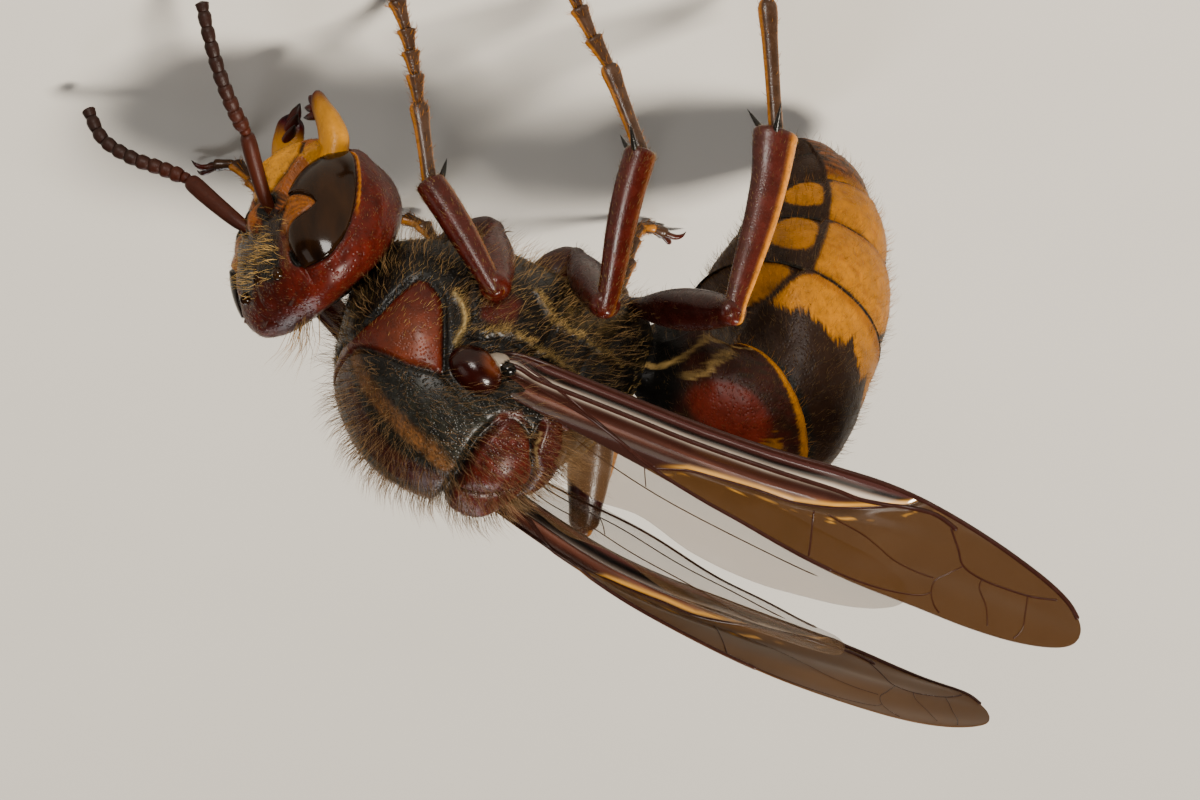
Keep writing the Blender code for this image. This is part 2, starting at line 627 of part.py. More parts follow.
def make_leg(name, spots, parts, guides, thorax_room):
    kind = name.split("_")[1]
    root, hip, knee, ankle = [from_waist(spot) for spot in spots[:4]]
    toes = [from_waist(spot) for spot in spots[3:]]
    hip_normal = joint_normal(root, hip, knee)
    knee_normal = joint_normal(hip, knee, ankle)
    ankle_normal = joint_normal(knee, ankle, toes[1])
    half_gap = GAP / 2

    wide, middle, narrow = COXA_RADII[kind]
    beyond = hip + (hip - root).normalized() * 0.5
    coxa = tube(name + "_coxa", limb_points(root, beyond, (0, 0.3, 0.6, 0.82, 1)),
                (wide * 0.8, wide, middle, narrow, narrow), parts)
    cut_flat(coxa, hip - hip_normal * half_gap, hip_normal)
    trim(coxa, (thorax_room,))
    paint(coxa, "thorax")

    thick = FEMUR_RADII[kind]
    before = hip.lerp(knee, -0.12)
    after = hip.lerp(knee, 1.1)
    femur = tube(name + "_femur", limb_points(before, after, (0, 0.14, 0.25, 0.42, 0.62, 0.8, 1)),
                 (0.36, 0.38, thick * 0.82, thick, thick * 0.9, 0.46, 0.42), parts)
    cut_flat(femur, hip + hip_normal * half_gap, -hip_normal)
    cut_flat(femur, knee - knee_normal * half_gap, knee_normal)
    trim(femur, (thorax_room,))
    paint(femur, "femur")

    thick = TIBIA_RADII[kind]
    before = knee.lerp(ankle, -0.12)
    after = knee.lerp(ankle, 1.06)
    tibia = tube(name + "_tibia", limb_points(before, after, (0, 0.16, 0.34, 0.55, 0.78, 0.93, 1)),
                 (0.36, 0.36, 0.34, 0.38, thick * 0.86, thick, thick * 0.9), parts)
    cut_flat(tibia, knee + knee_normal * half_gap, -knee_normal)
    cut_flat(tibia, ankle - ankle_normal * half_gap, ankle_normal)
    axis = (ankle - knee).normalized()
    inner = (toes[1] - ankle).normalized()
    inner = (inner - axis * inner.dot(axis)).normalized()
    for number, turn in enumerate(SPURS[kind]):
        outward = Matrix.Rotation(math.radians(turn), 3, axis) @ inner
        root = ankle - axis * 0.5 + outward * 0.3
        lean = math.radians(SPUR_SPREAD)
        tip = root + (axis * math.cos(lean) + outward * math.sin(lean)) * (SPUR_LENGTH[kind] + 0.3)
        join(tibia, tube(f"{name}_spur_{number}", (root, root.lerp(tip, 0.5), tip), (0.2, 0.15, 0.05), guides, 1))
    paint(tibia, "leg")

    path = [ankle + (ankle - toes[1]).normalized() * 0.3]
    radii = [TARSUS_RADIUS]
    for start, end in zip(toes, toes[1:]):
        for share, radius in ((0.12, TARSUS_RADIUS * 0.88), (0.9, TARSUS_RADIUS * 1.12)):
            path.append(start.lerp(end, share))
            radii.append(radius)
    path.append(toes[-1])
    radii.append(FOOT_RADIUS * 0.8)
    tarsus = tube(name + "_tarsus", path, radii, parts)
    cut_flat(tarsus, ankle + ankle_normal * half_gap, -ankle_normal)
    along = (toes[-1] - toes[-2]).normalized()
    for number, turn in enumerate((CLAW_SPREAD, -CLAW_SPREAD)):
        way = Matrix.Rotation(math.radians(turn), 3, "Z") @ along
        root = toes[-1] - along * 0.22
        bend = root + way * CLAW_LENGTH * 0.6 + Vector((0, 0, 0.08))
        tip = root + way * CLAW_LENGTH + Vector((0, 0, -0.1))
        join(tarsus, tube(f"{name}_claw_{number}", (root, bend, tip), (0.16, 0.13, 0.05), guides, 1))
    cut_flat(tarsus, (0, 0, 0), (0, 0, -1))
    keep_largest(tarsus)
    paint(tarsus, "leg")


def wing_fractions(kind):
    """Places of the stations along a wing, with three close together at each cross vein."""
    fractions = set(np.linspace(0, 1, WING_STATIONS[kind]))
    for place, _, _ in CROSS_VEINS[kind]:
        fractions = {f for f in fractions if abs(f - place) > 3 * CROSS_VEIN_HALF_LENGTH}
        fractions |= {place - CROSS_VEIN_HALF_LENGTH, place, place + CROSS_VEIN_HALF_LENGTH}
    return sorted(fractions)


def wing_chord(kind, fraction):
    """Places across the blade with the height of the surface there: veins stand above the membrane."""
    chord = [(-1.0, VEIN_HEIGHT * 0.5)]
    centres = [eased(vein, [fraction])[0] for vein in LONG_VEINS[kind]]
    half = VEIN_HALF_WIDTH[kind]
    stigma = kind == "forewing" and STIGMA[0] < fraction < STIGMA[1]
    for number, centre in enumerate(centres):
        crossed = [0.0, 0.0]
        for place, first, last in CROSS_VEINS[kind]:
            if abs(place - fraction) < CROSS_VEIN_HALF_LENGTH / 2:
                crossed[0] = max(crossed[0], VEIN_HEIGHT * (first < number <= last))
                crossed[1] = max(crossed[1], VEIN_HEIGHT * (first <= number < last))
        if stigma and number == 0:
            crossed[0] = VEIN_HEIGHT
        chord += [(centre - half, crossed[0]), (centre, VEIN_HEIGHT), (centre + half, crossed[1])]
    return chord + [(1.0, 0.0)]


def wing_rings(kind, path, across):
    """Stations of a thin blade: each ring runs along one face and back along the other."""
    fractions = wing_fractions(kind)
    middles = [from_waist(point) for point in eased(path, fractions)]
    spans = eased(WING_WIDTHS[kind], fractions)
    rings = []
    for k, (fraction, middle) in enumerate(zip(fractions, middles)):
        ahead = middles[min(k + 1, len(middles) - 1)] - middles[max(k - 1, 0)]
        ahead.normalize()
        over = Vector(across)
        over = (over - ahead * over.dot(ahead)).normalized()
        out = ahead.cross(over)
        chord = wing_chord(kind, fraction)
        faces = []
        for direction in (1, -1):
            faces.append([middle + over * share * spans[k] / 2
                          + out * direction * (WING_THICKNESS / 2 + height) for share, height in chord])
        rings.append(faces[0] + faces[1][::-1])
    return rings


def make_wings(parts, cutters):
    for name, (path, across) in WINGS.items():
        rings = wing_rings(name.split("_")[0], path, across)
        wing = loft(name, rings, parts, mirrored=True)
        trim(wing, cutters)
        paint(wing, "wing")


def settle(parts):
    """Moves the model so that its origin is the middle of its footprint, on the floor."""
    bpy.context.view_layer.update()
    corners = np.array([obj.matrix_world @ vertex.co for obj in parts.objects for vertex in obj.data.vertices])
    low, high = corners.min(axis=0), corners.max(axis=0)
    shift = Matrix.Translation((-(low[0] + high[0]) / 2, -(low[1] + high[1]) / 2, -low[2]))
    for obj in parts.objects:
        obj.data.transform(shift)
    return shift


def main():
    clear_scene()
    parts = new_collection("european_hornet")
    guides = new_collection("guides", hidden=True)
    thorax_room = make_thorax(parts, guides)
    tegula_rooms = make_tegulae(parts, guides, thorax_room)
    make_abdomen(parts)
    head_room = make_head(parts, guides, thorax_room)
    make_mouth(parts, guides, head_room)
    make_antennae(parts, head_room)
    for name, spots in LEGS.items():
        make_leg(name, spots, parts, guides, thorax_room)
    make_wings(parts, [thorax_room] + tegula_rooms)
    for obj in list(guides.objects):
        bpy.data.objects.remove(obj)
    for obj in parts.objects:
        obj.data.shade_smooth()
        obj.data.set_sharp_from_angle(angle=math.radians(35))
    settle(parts)


main()
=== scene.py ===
# %% [markdown]
# # A european hornet at life size
# The solids of this model are already packed. They give every piece its place, and this script dresses
# them: one skin over the thorax, one over the abdomen and one over the head, then eyes, legs, wings and hair.
# Each body part is a grid that is bent round a simple outline, because a hornet is built of smooth shells
# whose sutures, steps and colours all follow the length and the girth of the shell.

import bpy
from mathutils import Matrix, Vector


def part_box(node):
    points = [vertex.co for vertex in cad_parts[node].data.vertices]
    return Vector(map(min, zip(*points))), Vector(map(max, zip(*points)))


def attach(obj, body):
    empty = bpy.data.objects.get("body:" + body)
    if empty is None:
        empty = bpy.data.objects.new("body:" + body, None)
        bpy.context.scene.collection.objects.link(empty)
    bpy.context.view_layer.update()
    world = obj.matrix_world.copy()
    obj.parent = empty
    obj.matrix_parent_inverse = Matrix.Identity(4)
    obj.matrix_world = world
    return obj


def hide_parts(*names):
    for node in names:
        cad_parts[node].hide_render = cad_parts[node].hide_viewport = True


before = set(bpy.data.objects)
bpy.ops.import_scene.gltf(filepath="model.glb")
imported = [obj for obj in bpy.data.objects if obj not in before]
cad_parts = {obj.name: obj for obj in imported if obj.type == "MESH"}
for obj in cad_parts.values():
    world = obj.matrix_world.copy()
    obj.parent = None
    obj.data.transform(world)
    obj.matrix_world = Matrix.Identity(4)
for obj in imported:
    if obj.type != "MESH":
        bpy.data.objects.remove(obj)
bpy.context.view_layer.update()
print("solids loaded:", len(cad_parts))

# %% [markdown]
# Sizes are easiest to read in millimetres from the waist, the narrow joint between thorax and abdomen.
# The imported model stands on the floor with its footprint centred, so the waist is found from the box of one
# abdomen ring, whose middle lies a known way from it.

# %% Find the waist
import math

import bmesh
import bpy
import numpy as np
from mathutils import Matrix, Vector

MM = 0.001
ring_low, ring_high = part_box("abdomen_3")
WAIST = np.array((ring_low + ring_high) / 2) - np.array((-5.6248, 0.3807, -3.1770)) * MM
print("waist, millimetres:", np.round(WAIST / MM, 2))


def to_world(spots):
    """Millimetres from the waist as metres in the scene."""
    return WAIST + np.asarray(spots) * MM


def turn(axis, degrees):
    """A turn about an axis, as a matrix."""
    return np.array(Matrix.Rotation(math.radians(degrees), 3, axis))

# %% [markdown]
# The picture was taken with a long lens from the animal's right, a little in front and above, and the animal
# hangs upside down in it. The model stands on its feet, so the camera keeps its place beside the animal and is
# rolled by half a turn. The three directions below are the picture's right, up and towards the camera before
# that roll. A lens of 306 mm, 300 mm away, shows 34 pixels to the millimetre in a picture 1200 pixels wide.

# %% Camera
PICTURE_RIGHT = Vector((0.947, 0.3105, -0.082)).normalized()
TOWARDS_CAMERA = PICTURE_RIGHT.cross(Vector((-0.072, 0.4542, 0.888))).normalized()
PICTURE_UP = TOWARDS_CAMERA.cross(PICTURE_RIGHT)
CAMERA_DISTANCE = 300 * MM
CAMERA_LENS = 306
MIDDLE_RIGHT, MIDDLE_UP = 0.868, 0.75     # the picture's middle, in millimetres from the waist

camera_data = bpy.data.cameras.new("camera")
camera_data.lens = CAMERA_LENS
camera_data.sensor_width = 36
camera_data.clip_start = 0.01
camera_data.clip_end = 20
camera = bpy.data.objects.new("camera", camera_data)
bpy.context.scene.collection.objects.link(camera)
aim = Vector(WAIST) + (PICTURE_RIGHT * MIDDLE_RIGHT + PICTURE_UP * MIDDLE_UP) * MM
rolled = Matrix((-PICTURE_RIGHT, -PICTURE_UP, TOWARDS_CAMERA)).transposed().to_4x4()
camera.matrix_world = Matrix.Translation(aim + TOWARDS_CAMERA * CAMERA_DISTANCE) @ rolled
bpy.context.scene.camera = camera
print("camera height, mm:", round(camera.matrix_world.translation.z / MM))

# %% [markdown]
# A material is a small graph of nodes. Four helpers keep the graphs short: one starts a material, one adds a
# node with its settings, one turns a pattern into bumps and one colours the surface with soft noise. Bumps
# only tilt the light, so they suit what is too small to model.

# %% Material helpers
def new_material(name):
    """A new material with its graph of nodes and its shader."""
    material = bpy.data.materials.new(name)
    material.use_nodes = True
    return material, material.node_tree, material.node_tree.nodes["Principled BSDF"]


def add_node(tree, kind, **values):
    """A node with the given values, each for the socket or else the setting of that name."""
    node = tree.nodes.new(kind)
    for name, value in values.items():
        socket = name.replace("_", " ")
        if socket in node.inputs:
            node.inputs[socket].default_value = value
        else:
            setattr(node, name, value)
    return node


def add_bump(tree, shader, height, strength, distance):
    """Bumps the surface by a height between 0 and 1, at most the given distance in metres."""
    bump = add_node(tree, "ShaderNodeBump", Strength=strength, Distance=distance)
    tree.links.new(height, bump.inputs["Height"])
    tree.links.new(bump.outputs["Normal"], shader.inputs["Normal"])


def noise_colours(tree, shader, place, low, high, **values):
    """Soft noise between two colours, each given with its position on the ramp from 0 to 1."""
    noise = add_node(tree, "ShaderNodeTexNoise", **values)
    tree.links.new(place, noise.inputs["Vector"])
    ramp = tree.nodes.new("ShaderNodeValToRGB")
    for element, (position, colour) in zip(ramp.color_ramp.elements, (low, high)):
        element.position = position
        element.color = (*colour, 1)
    tree.links.new(noise.outputs["Fac"], ramp.inputs["Fac"])
    tree.links.new(ramp.outputs["Color"], shader.inputs["Base Color"])

# %% [markdown]
# Chitin, the horny shell of an insect, is one recipe for nearly every piece. The colour is painted on the
# vertices as an attribute called markings, since bands and spots follow the body, and a little noise on Object
# coordinates breaks it up. The same noise varies the gloss, and a cell pattern makes round pits.

# %% One recipe for chitin
PIT_REACH = 0.45        # share of a cell that its pit takes up; the rest is flat
PIT_DEPTH = 0.00002     # metres


def chitin(name, roughness, pits=12000, pit_depth=0.4, mottle=0.25, grain=2500, shine=0.15):
    """Painted chitin. Pits and grain are counted to the metre, mottle is how far the noise shades it."""
    material, tree, shader = new_material(name)
    shader.inputs["Specular IOR Level"].default_value = shine
    place = tree.nodes.new("ShaderNodeTexCoord").outputs["Object"]
    markings = add_node(tree, "ShaderNodeAttribute", attribute_name="markings").outputs["Color"]
    patches = add_node(tree, "ShaderNodeTexNoise", Scale=grain, Detail=5.0, Roughness=0.65)
    tree.links.new(place, patches.inputs["Vector"])
    level = add_node(tree, "ShaderNodeMapRange", From_Min=0.3, From_Max=0.7, To_Min=1 - mottle, To_Max=1 + mottle)
    tree.links.new(patches.outputs["Fac"], level.inputs["Value"])
    shade = add_node(tree, "ShaderNodeVectorMath", operation="SCALE")
    tree.links.new(markings, shade.inputs[0])
    tree.links.new(level.outputs["Result"], shade.inputs["Scale"])
    tree.links.new(shade.outputs["Vector"], shader.inputs["Base Color"])
    rough = add_node(tree, "ShaderNodeMapRange", To_Min=roughness - 0.08, To_Max=roughness + 0.1)
    tree.links.new(patches.outputs["Fac"], rough.inputs["Value"])
    tree.links.new(rough.outputs["Result"], shader.inputs["Roughness"])
    cells = add_node(tree, "ShaderNodeTexVoronoi", Scale=pits)
    tree.links.new(place, cells.inputs["Vector"])
    pit = add_node(tree, "ShaderNodeMapRange", From_Max=PIT_REACH)
    tree.links.new(cells.outputs["Distance"], pit.inputs["Value"])
    add_bump(tree, shader, pit.outputs["Result"], pit_depth, PIT_DEPTH)
    return material


HAIR_MATERIAL = chitin("hair", 0.5, pits=3000, pit_depth=0.0, mottle=0.2, grain=900)
print("materials so far:", len(bpy.data.materials))

# %% [markdown]
# Every outline below is a short table of sections. A soft curve through the table gives the sections in
# between, and a squared circle gives the round of each section. Both are written for whole arrays, so that a
# hundred thousand points cost no more than a moment.

# %% Curves through tables
def eased(values, places):
    """Values along a smooth curve through the rows of a table, at places counted in rows."""
    rows = np.asarray(values, float)
    rows = rows.reshape(len(rows), -1)
    last = len(rows) - 1
    places = np.clip(np.asarray(places, float), 0, last - 1e-9)
    index = places.astype(int)
    step = (places - index)[:, None]
    before, start = rows[np.maximum(index - 1, 0)], rows[index]
    end, after = rows[index + 1], rows[np.minimum(index + 2, last)]
    return 0.5 * (2 * start + (end - before) * step + (2 * before - 5 * start + 4 * end - after) * step ** 2
                  + (3 * start - before - 3 * end + after) * step ** 3)


def power(value, exponent):
    """A power that keeps the sign: it squares up the round of a section."""
    return np.sign(value) * np.abs(value) ** exponent


def smooth(value, low, high):
    """From 0 below low to 1 above high, with soft ends."""
    share = np.clip((value - low) / (high - low), 0, 1)
    return share * share * (3 - 2 * share)


def fade(value, low, high):
    """From 1 below low to 0 above high, with soft ends."""
    return 1 - smooth(value, low, high)


def bell(distance, width):
    """1 at no distance, falling softly to 0 over about two widths."""
    return np.exp(-(distance / width) ** 2)


def turned(angle):
    """How far an angle is from 0, up to half a turn."""
    return np.abs(np.angle(np.exp(1j * angle)))


def unit(vectors):
    """Vectors of length 1 in the same directions."""
    return vectors / np.maximum(np.linalg.norm(vectors, axis=-1, keepdims=True), 1e-12)


print("a soft curve halfway between 0, 1 and 4:", eased([0, 1, 4], [0.5])[0].round(3))

# %% [markdown]
# Seams, ridges and patches of colour are drawn where a spot is near a line or inside an outline, so the next
# helpers measure that for every spot at once. Ripples of random directions give soft, uneven edges. Each call
# seeds its own random numbers, so every run gives the same result.

# %% Distances and ripples
def away_from(spots, point):
    """How far each spot is from a point."""
    return np.linalg.norm(spots - point, axis=1)


def distance_to(spots, line):
    """How far each spot is from a line that runs softly through the given points."""
    line = eased(line, np.linspace(0, len(line) - 1, 4 * len(line) - 3)) if len(line) > 2 else np.array(line)
    best = np.full(len(spots), 1e9)
    for start, end in zip(line, line[1:]):
        way = end - start
        share = np.clip((spots - start) @ way / max(way @ way, 1e-12), 0, 1)
        best = np.minimum(best, np.linalg.norm(spots - start - share[:, None] * way, axis=1))
    return best


def depth_in(spots, corners):
    """How deep each spot lies in an outline on a plane, below 0 outside it."""
    corners = np.asarray(corners, float)
    within = np.zeros(len(spots), bool)
    best = np.full(len(spots), 1e9)
    for start, end in zip(corners, np.roll(corners, -1, axis=0)):
        way = end - start
        share = np.clip((spots - start) @ way / (way @ way), 0, 1)
        best = np.minimum(best, np.linalg.norm(spots - start - share[:, None] * way, axis=1))
        crosses = (start[1] > spots[:, 1]) != (end[1] > spots[:, 1])
        reach = start[0] + (spots[:, 1] - start[1]) / (way[1] if way[1] else 1e-9) * way[0]
        within ^= crosses & (spots[:, 0] < reach)
    return np.where(within, best, -best)


def inside(spots, corners, soft):
    """From 0 outside to 1 inside an outline on a plane, over a soft edge of the given width."""
    return smooth(depth_in(spots, corners), -soft / 2, soft / 2)


def mix(first, second, share):
    """Blends colours by a share for each spot."""
    return first + (np.asarray(second) - first) * np.asarray(share)[:, None]


def waves(spots, size, seed=0):
    """A soft random swell over the body, between -1 and 1, from a few crossing ripples."""
    draw = np.random.default_rng(seed)
    total = np.zeros(len(spots))
    for _ in range(10):
        way = unit(draw.normal(size=3)) * draw.uniform(0.6, 1.6) / size
        total += np.sin(spots @ way * 2 * math.pi + draw.uniform(0, 6.3))
    return total / 4


print("a spot 1 mm inside a square of 4 mm:", depth_in(np.array([(1.0, 2.0)]), ((0, 0), (4, 0), (4, 4), (0, 4))))

# %% [markdown]
# A skin knows four things: its bare outline over (u, v), where that part of the body stands, how far its
# relief rises at a spot, and its colour there. The grid, the hair roots and the hair colours all ask the
# same skin, so hair can't leave the surface and its bands match. create_grid makes the flat net, its corners
# are moved on to the skin, remove_doubles welds the seam and holes_fill closes the two ends.

# %% The skin and its net
class Skin:
    """A body part's surface over u, from 0 to 1 along it, and v, once round it from 0 to a full turn."""

    def __init__(self, outline, place, relief, colour, step=0.002):
        self.outline = outline
        self.place = place
        self.relief = relief
        self.colour = colour
        self.step = step

    def facing(self, u, v):
        """The outward direction of the bare outline."""
        step = self.step
        along = self.outline(np.clip(u + step, 0, 1), v) - self.outline(np.clip(u - step, 0, 1), v)
        around = self.outline(u, v + step * 6) - self.outline(u, v - step * 6)
        out = unit(np.cross(around, along))
        middle = (self.outline(u, v) + self.outline(u, v + math.pi)) / 2
        return out * np.sign(np.sum(out * (self.outline(u, v) - middle), axis=1))[:, None]

    def local(self, u, v):
        """The surface with its relief, in the part's own frame."""
        bare, facing = self.outline(u, v), self.facing(u, v)
        return bare + facing * self.relief(bare, facing, u, v)[:, None]

    def at(self, u, v):
        """The surface where it stands, in millimetres from the waist."""
        return self.place(self.local(u, v))

    def paint(self, u, v):
        """The surface's colours."""
        return np.clip(self.colour(self.outline(u, v), self.facing(u, v), u, v), 0, 1)


def net(shape, rows, columns, paint, row_places=None):
    """A bmesh grid bent over shape(u, v), welded along its seam and closed at its ends."""
    bm = bmesh.new()
    bmesh.ops.create_grid(bm, x_segments=rows, y_segments=columns, size=1)
    flat = np.array([vert.co.to_tuple() for vert in bm.verts])
    u = (flat[:, 0] + 1) / 2
    if row_places is not None:
        u = np.interp(u, np.linspace(0, 1, len(row_places)), row_places)
    v = (flat[:, 1] + 1) * math.pi
    spots = shape(u, v)
    layer = bm.verts.layers.float_color.new("markings")
    for vert, spot, colour in zip(bm.verts, spots.tolist(), paint(u, v).tolist()):
        vert.co = spot
        vert[layer] = (*colour, 1)
    bmesh.ops.remove_doubles(bm, verts=bm.verts, dist=1e-4)
    border = [edge for edge in bm.edges if edge.is_boundary]
    if border:
        bmesh.ops.holes_fill(bm, edges=border, sides=0)
    bmesh.ops.recalc_face_normals(bm, faces=bm.faces)
    return bm

# %% [markdown]
# Some pieces are put together from many small nets, so there is a way to start an empty painted bmesh and to
# join others into it. A finished piece is moved to its place in its mesh, not by its object. It gets its
# materials, it is tied to the root body, and the solids that it stands for are hidden.

# %% Put pieces together and show them
def painted_bmesh():
    """An empty bmesh whose vertices can carry markings."""
    bm = bmesh.new()
    bm.verts.layers.float_color.new("markings")
    return bm


def add_to(whole, part):
    """Joins one bmesh into another and frees it."""
    mesh = bpy.data.meshes.new("part")
    part.to_mesh(mesh)
    part.free()
    whole.from_mesh(mesh)
    bpy.data.meshes.remove(mesh)


def add_piece(name, mesh, materials):
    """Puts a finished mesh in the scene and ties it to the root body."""
    for material in materials:
        mesh.materials.append(material)
    mesh.shade_smooth()
    piece = bpy.data.objects.new(name, mesh)
    bpy.context.scene.collection.objects.link(piece)
    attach(piece, "root")
    print(name, len(mesh.polygons), "faces")
    return piece


def show(bm, name, materials, replaced=()):
    """Shows a bmesh in millimetres from the waist in place of the solids that it replaces."""
    bmesh.ops.transform(bm, matrix=Matrix.Translation(WAIST) @ Matrix.Scale(MM, 4), verts=bm.verts)
    mesh = bpy.data.meshes.new(name)
    bm.to_mesh(mesh)
    bm.free()
    piece = add_piece(name, mesh, materials)
    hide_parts(*replaced)

# %% [markdown]
# The thorax carries the wings and the legs. On the real animal it is a box of plates: the red-brown collar
# (pronotum) in front, the black back with two tan stripes, the twin domes of the scutellum, the metanotum
# behind them, and the black, gold-downed flanks. Seams between the plates are grooves, drawn as lines that
# both sides share, and the domes are soft swellings.

# %% Thorax outline
THORAX_TURN = turn("Y", 19)
THORAX_PROFILE = (   # distance from the waist, top, bottom, half width
    (-0.28, 0.6, -1.45, 0.55), (0.12, 1.8, -1.85, 1.3), (0.8, 2.9, -1.75, 2.05), (1.6, 4.3, -1.65, 2.5),
    (2.4, 5.2, -1.6, 2.75), (3.6, 5.8, -1.7, 2.92), (5.0, 5.95, -1.7, 3.0), (6.2, 5.7, -1.5, 2.95),
    (7.2, 5.0, -1.15, 2.65), (8.0, 3.95, -0.8, 2.15), (8.4, 2.75, -0.6, 1.5), (8.55, 0.85, -0.55, 0.65))


def thorax_outline(u, v):
    forward, top, bottom, half = eased(THORAX_PROFILE, u * (len(THORAX_PROFILE) - 1)).T
    middle = 0.35 * top + 0.65 * bottom
    across, height = np.cos(v), np.sin(v)
    exponent = np.where(height > 0, 2 / 2.5, 2 / 2.2)
    across, height = power(across, exponent), power(height, exponent)
    reach = np.where(height > 0, top - middle, middle - bottom)
    return np.stack([forward, half * across, middle + reach * height], axis=1)


def thorax_place(local):
    return local @ THORAX_TURN.T


print("thorax length, mm:", THORAX_PROFILE[-1][0] - THORAX_PROFILE[0][0])

# %% [markdown]
# The seams are given as points on the left half, as forward, sideways and up in the thorax's own frame. A
# spot on either side is folded over to the left half before its distance to a seam is measured.

# %% Thorax seams and plates
SEAMS = (   # depth, half width, line
    (0.16, 0.10, ((5.74, 2.63, 3.91), (5.94, 2.79, 3.25), (6.12, 2.87, 2.67), (6.39, 2.90, 1.83), (6.86, 2.78, 1.30),
                  (7.29, 2.61, 1.23), (7.69, 2.36, 1.80), (8.02, 1.96, 2.44), (8.28, 1.03, 2.75), (8.45, 0.0, 2.6))),
    (0.14, 0.08, ((5.72, 2.61, 3.96), (6.82, 2.33, 3.90), (7.70, 1.82, 3.56), (8.20, 0.95, 3.25), (8.28, 0.0, 3.2))),
    (0.34, 0.17, ((3.66, 2.45, 4.55), (3.85, 2.2, 4.85), (4.06, 1.89, 5.25), (4.13, 1.4, 5.6), (4.17, 0.7, 5.85),
                  (4.18, 0.0, 5.92))),
    (0.16, 0.10, ((4.1, 0.0, 5.9), (3.3, 0.0, 5.72), (2.5, 0.0, 5.3), (2.0, 0.0, 4.8))),
    (0.30, 0.13, ((2.45, 2.2, 4.15), (2.36, 1.55, 4.7), (2.1, 1.1, 4.8), (1.95, 0.6, 4.8), (1.88, 0.0, 4.8))),
    (0.16, 0.12, ((2.36, 1.75, 4.65), (2.81, 2.13, 4.41), (3.24, 2.36, 4.36), (3.61, 2.4, 4.55))),
    (0.20, 0.12, ((1.9, 2.3, 3.6), (1.5, 1.5, 3.85), (1.22, 0.8, 3.6), (1.12, 0.0, 3.5))),
    (0.12, 0.08, ((3.75, 2.3, 4.75), (4.38, 2.42, 4.6), (5.01, 2.55, 4.4), (5.62, 2.62, 4.05))),
    (0.14, 0.09, ((2.2, 2.55, 2.6), (3.22, 2.81, 2.43), (4.27, 2.93, 2.25), (5.10, 2.96, 2.67), (5.62, 2.93, 2.81))),
    (0.16, 0.09, ((3.4, 2.85, 2.4), (3.1, 2.88, 1.6), (3.05, 2.85, 0.6), (2.85, 2.7, -0.3), (2.6, 2.3, -1.0))),
    (0.12, 0.08, ((1.7, 2.35, 2.9), (1.85, 2.5, 1.9), (1.6, 2.35, 1.0), (1.3, 2.0, 0.1), (1.2, 1.5, -0.7))),
    (0.12, 0.07, ((5.6, 2.96, 2.75), (5.5, 3.0, 2.0), (5.75, 2.98, 1.3), (5.6, 2.95, 0.4), (5.2, 2.8, -0.5),
                  (4.9, 2.3, -1.1))),
    (0.30, 0.14, ((1.1, 0.0, 3.4), (0.75, 0.0, 2.4), (0.45, 0.0, 1.2))),
)
RIDGES = (   # height, half width, line
    (0.15, 0.10, ((0.31, 0.86, 0.42), (0.8, 1.8, 1.0), (1.49, 2.43, 1.17), (2.40, 2.75, 1.13), (3.12, 2.87, 0.97),
                  (3.90, 2.91, 0.45))),
    (0.10, 0.12, ((2.0, 2.6, 2.3), (3.22, 2.85, 2.15), (4.27, 2.96, 1.98), (4.9, 2.97, 2.3))),
    (0.12, 0.08, ((5.70, 2.86, 3.00), (5.60, 2.95, 2.34), (5.85, 2.97, 1.75), (6.15, 2.93, 1.5))),
    (0.10, 0.10, ((0.5, 0.9, 1.9), (0.85, 1.5, 2.4), (1.35, 2.0, 3.1))),
)
COLLAR = ((5.74, 3.93), (6.82, 3.90), (7.7, 3.56), (8.2, 3.22), (8.7, 3.2), (8.7, 2.6), (8.28, 2.8),
          (8.02, 2.44), (7.69, 1.80), (7.29, 1.23), (6.86, 1.30), (6.39, 1.83), (6.12, 2.67), (5.94, 3.25))
SCUTELLUM = ((4.2, -0.2), (4.2, 0.77), (4.15, 1.51), (4.06, 1.95), (3.75, 2.4), (3.2, 2.4), (2.8, 2.15),
             (2.38, 1.65), (2.12, 1.1), (1.97, 0.6), (1.9, -0.2))
METANOTUM = ((1.95, -0.2), (2.0, 0.6), (2.15, 1.1), (2.4, 1.6), (2.5, 2.3), (1.9, 2.3), (1.5, 1.6), (1.22, 0.9),
             (1.12, -0.2))
STRIPE = ((4.7, 1.0, 5.9), (5.22, 1.25, 5.75), (5.79, 1.38, 5.6), (6.25, 1.4, 5.4), (6.87, 1.35, 5.0),
          (7.42, 1.2, 4.5), (7.82, 1.08, 4.0), (8.12, 1.0, 3.5))


print("seams:", len(SEAMS), "ridges:", len(RIDGES))

# %% [markdown]
# The relief adds up soft swellings, cut seams and raised ridges, in millimetres along the outward direction of
# the bare outline. A last faint ripple keeps the plates from looking machined.

# %% Thorax relief
THORAX_SWELLINGS = (   # centre, radii, height
    ((3.05, 1.1, 5.5), (1.25, 1.3, 1.6), 0.34),       # the twin domes of the scutellum
    ((1.6, 0.5, 4.2), (0.6, 1.6, 1.0), 0.16),         # the metanotum
    ((6.9, 2.6, 2.7), (1.2, 1.4, 1.5), 0.14),         # the collar
    ((4.6, 2.95, 0.7), (1.5, 1.0, 1.6), 0.16),        # the flank
    ((0.8, 1.2, 2.0), (1.0, 0.9, 1.3), 0.18),         # the rear slope
    ((4.6, 2.9, 3.3), (1.5, 0.9, 0.9), -0.22),        # the hollow that the wing root lies in
)


def folded(spots):
    """Spots of both sides on the left half."""
    return np.where((False, True, False), np.abs(spots), spots)


def swelling(spots, centre, radii, height):
    """A soft dome of the given height over an ellipsoid."""
    reach = np.linalg.norm((spots - np.array(centre)) / np.array(radii), axis=1)
    return height * fade(reach, 0, 1)


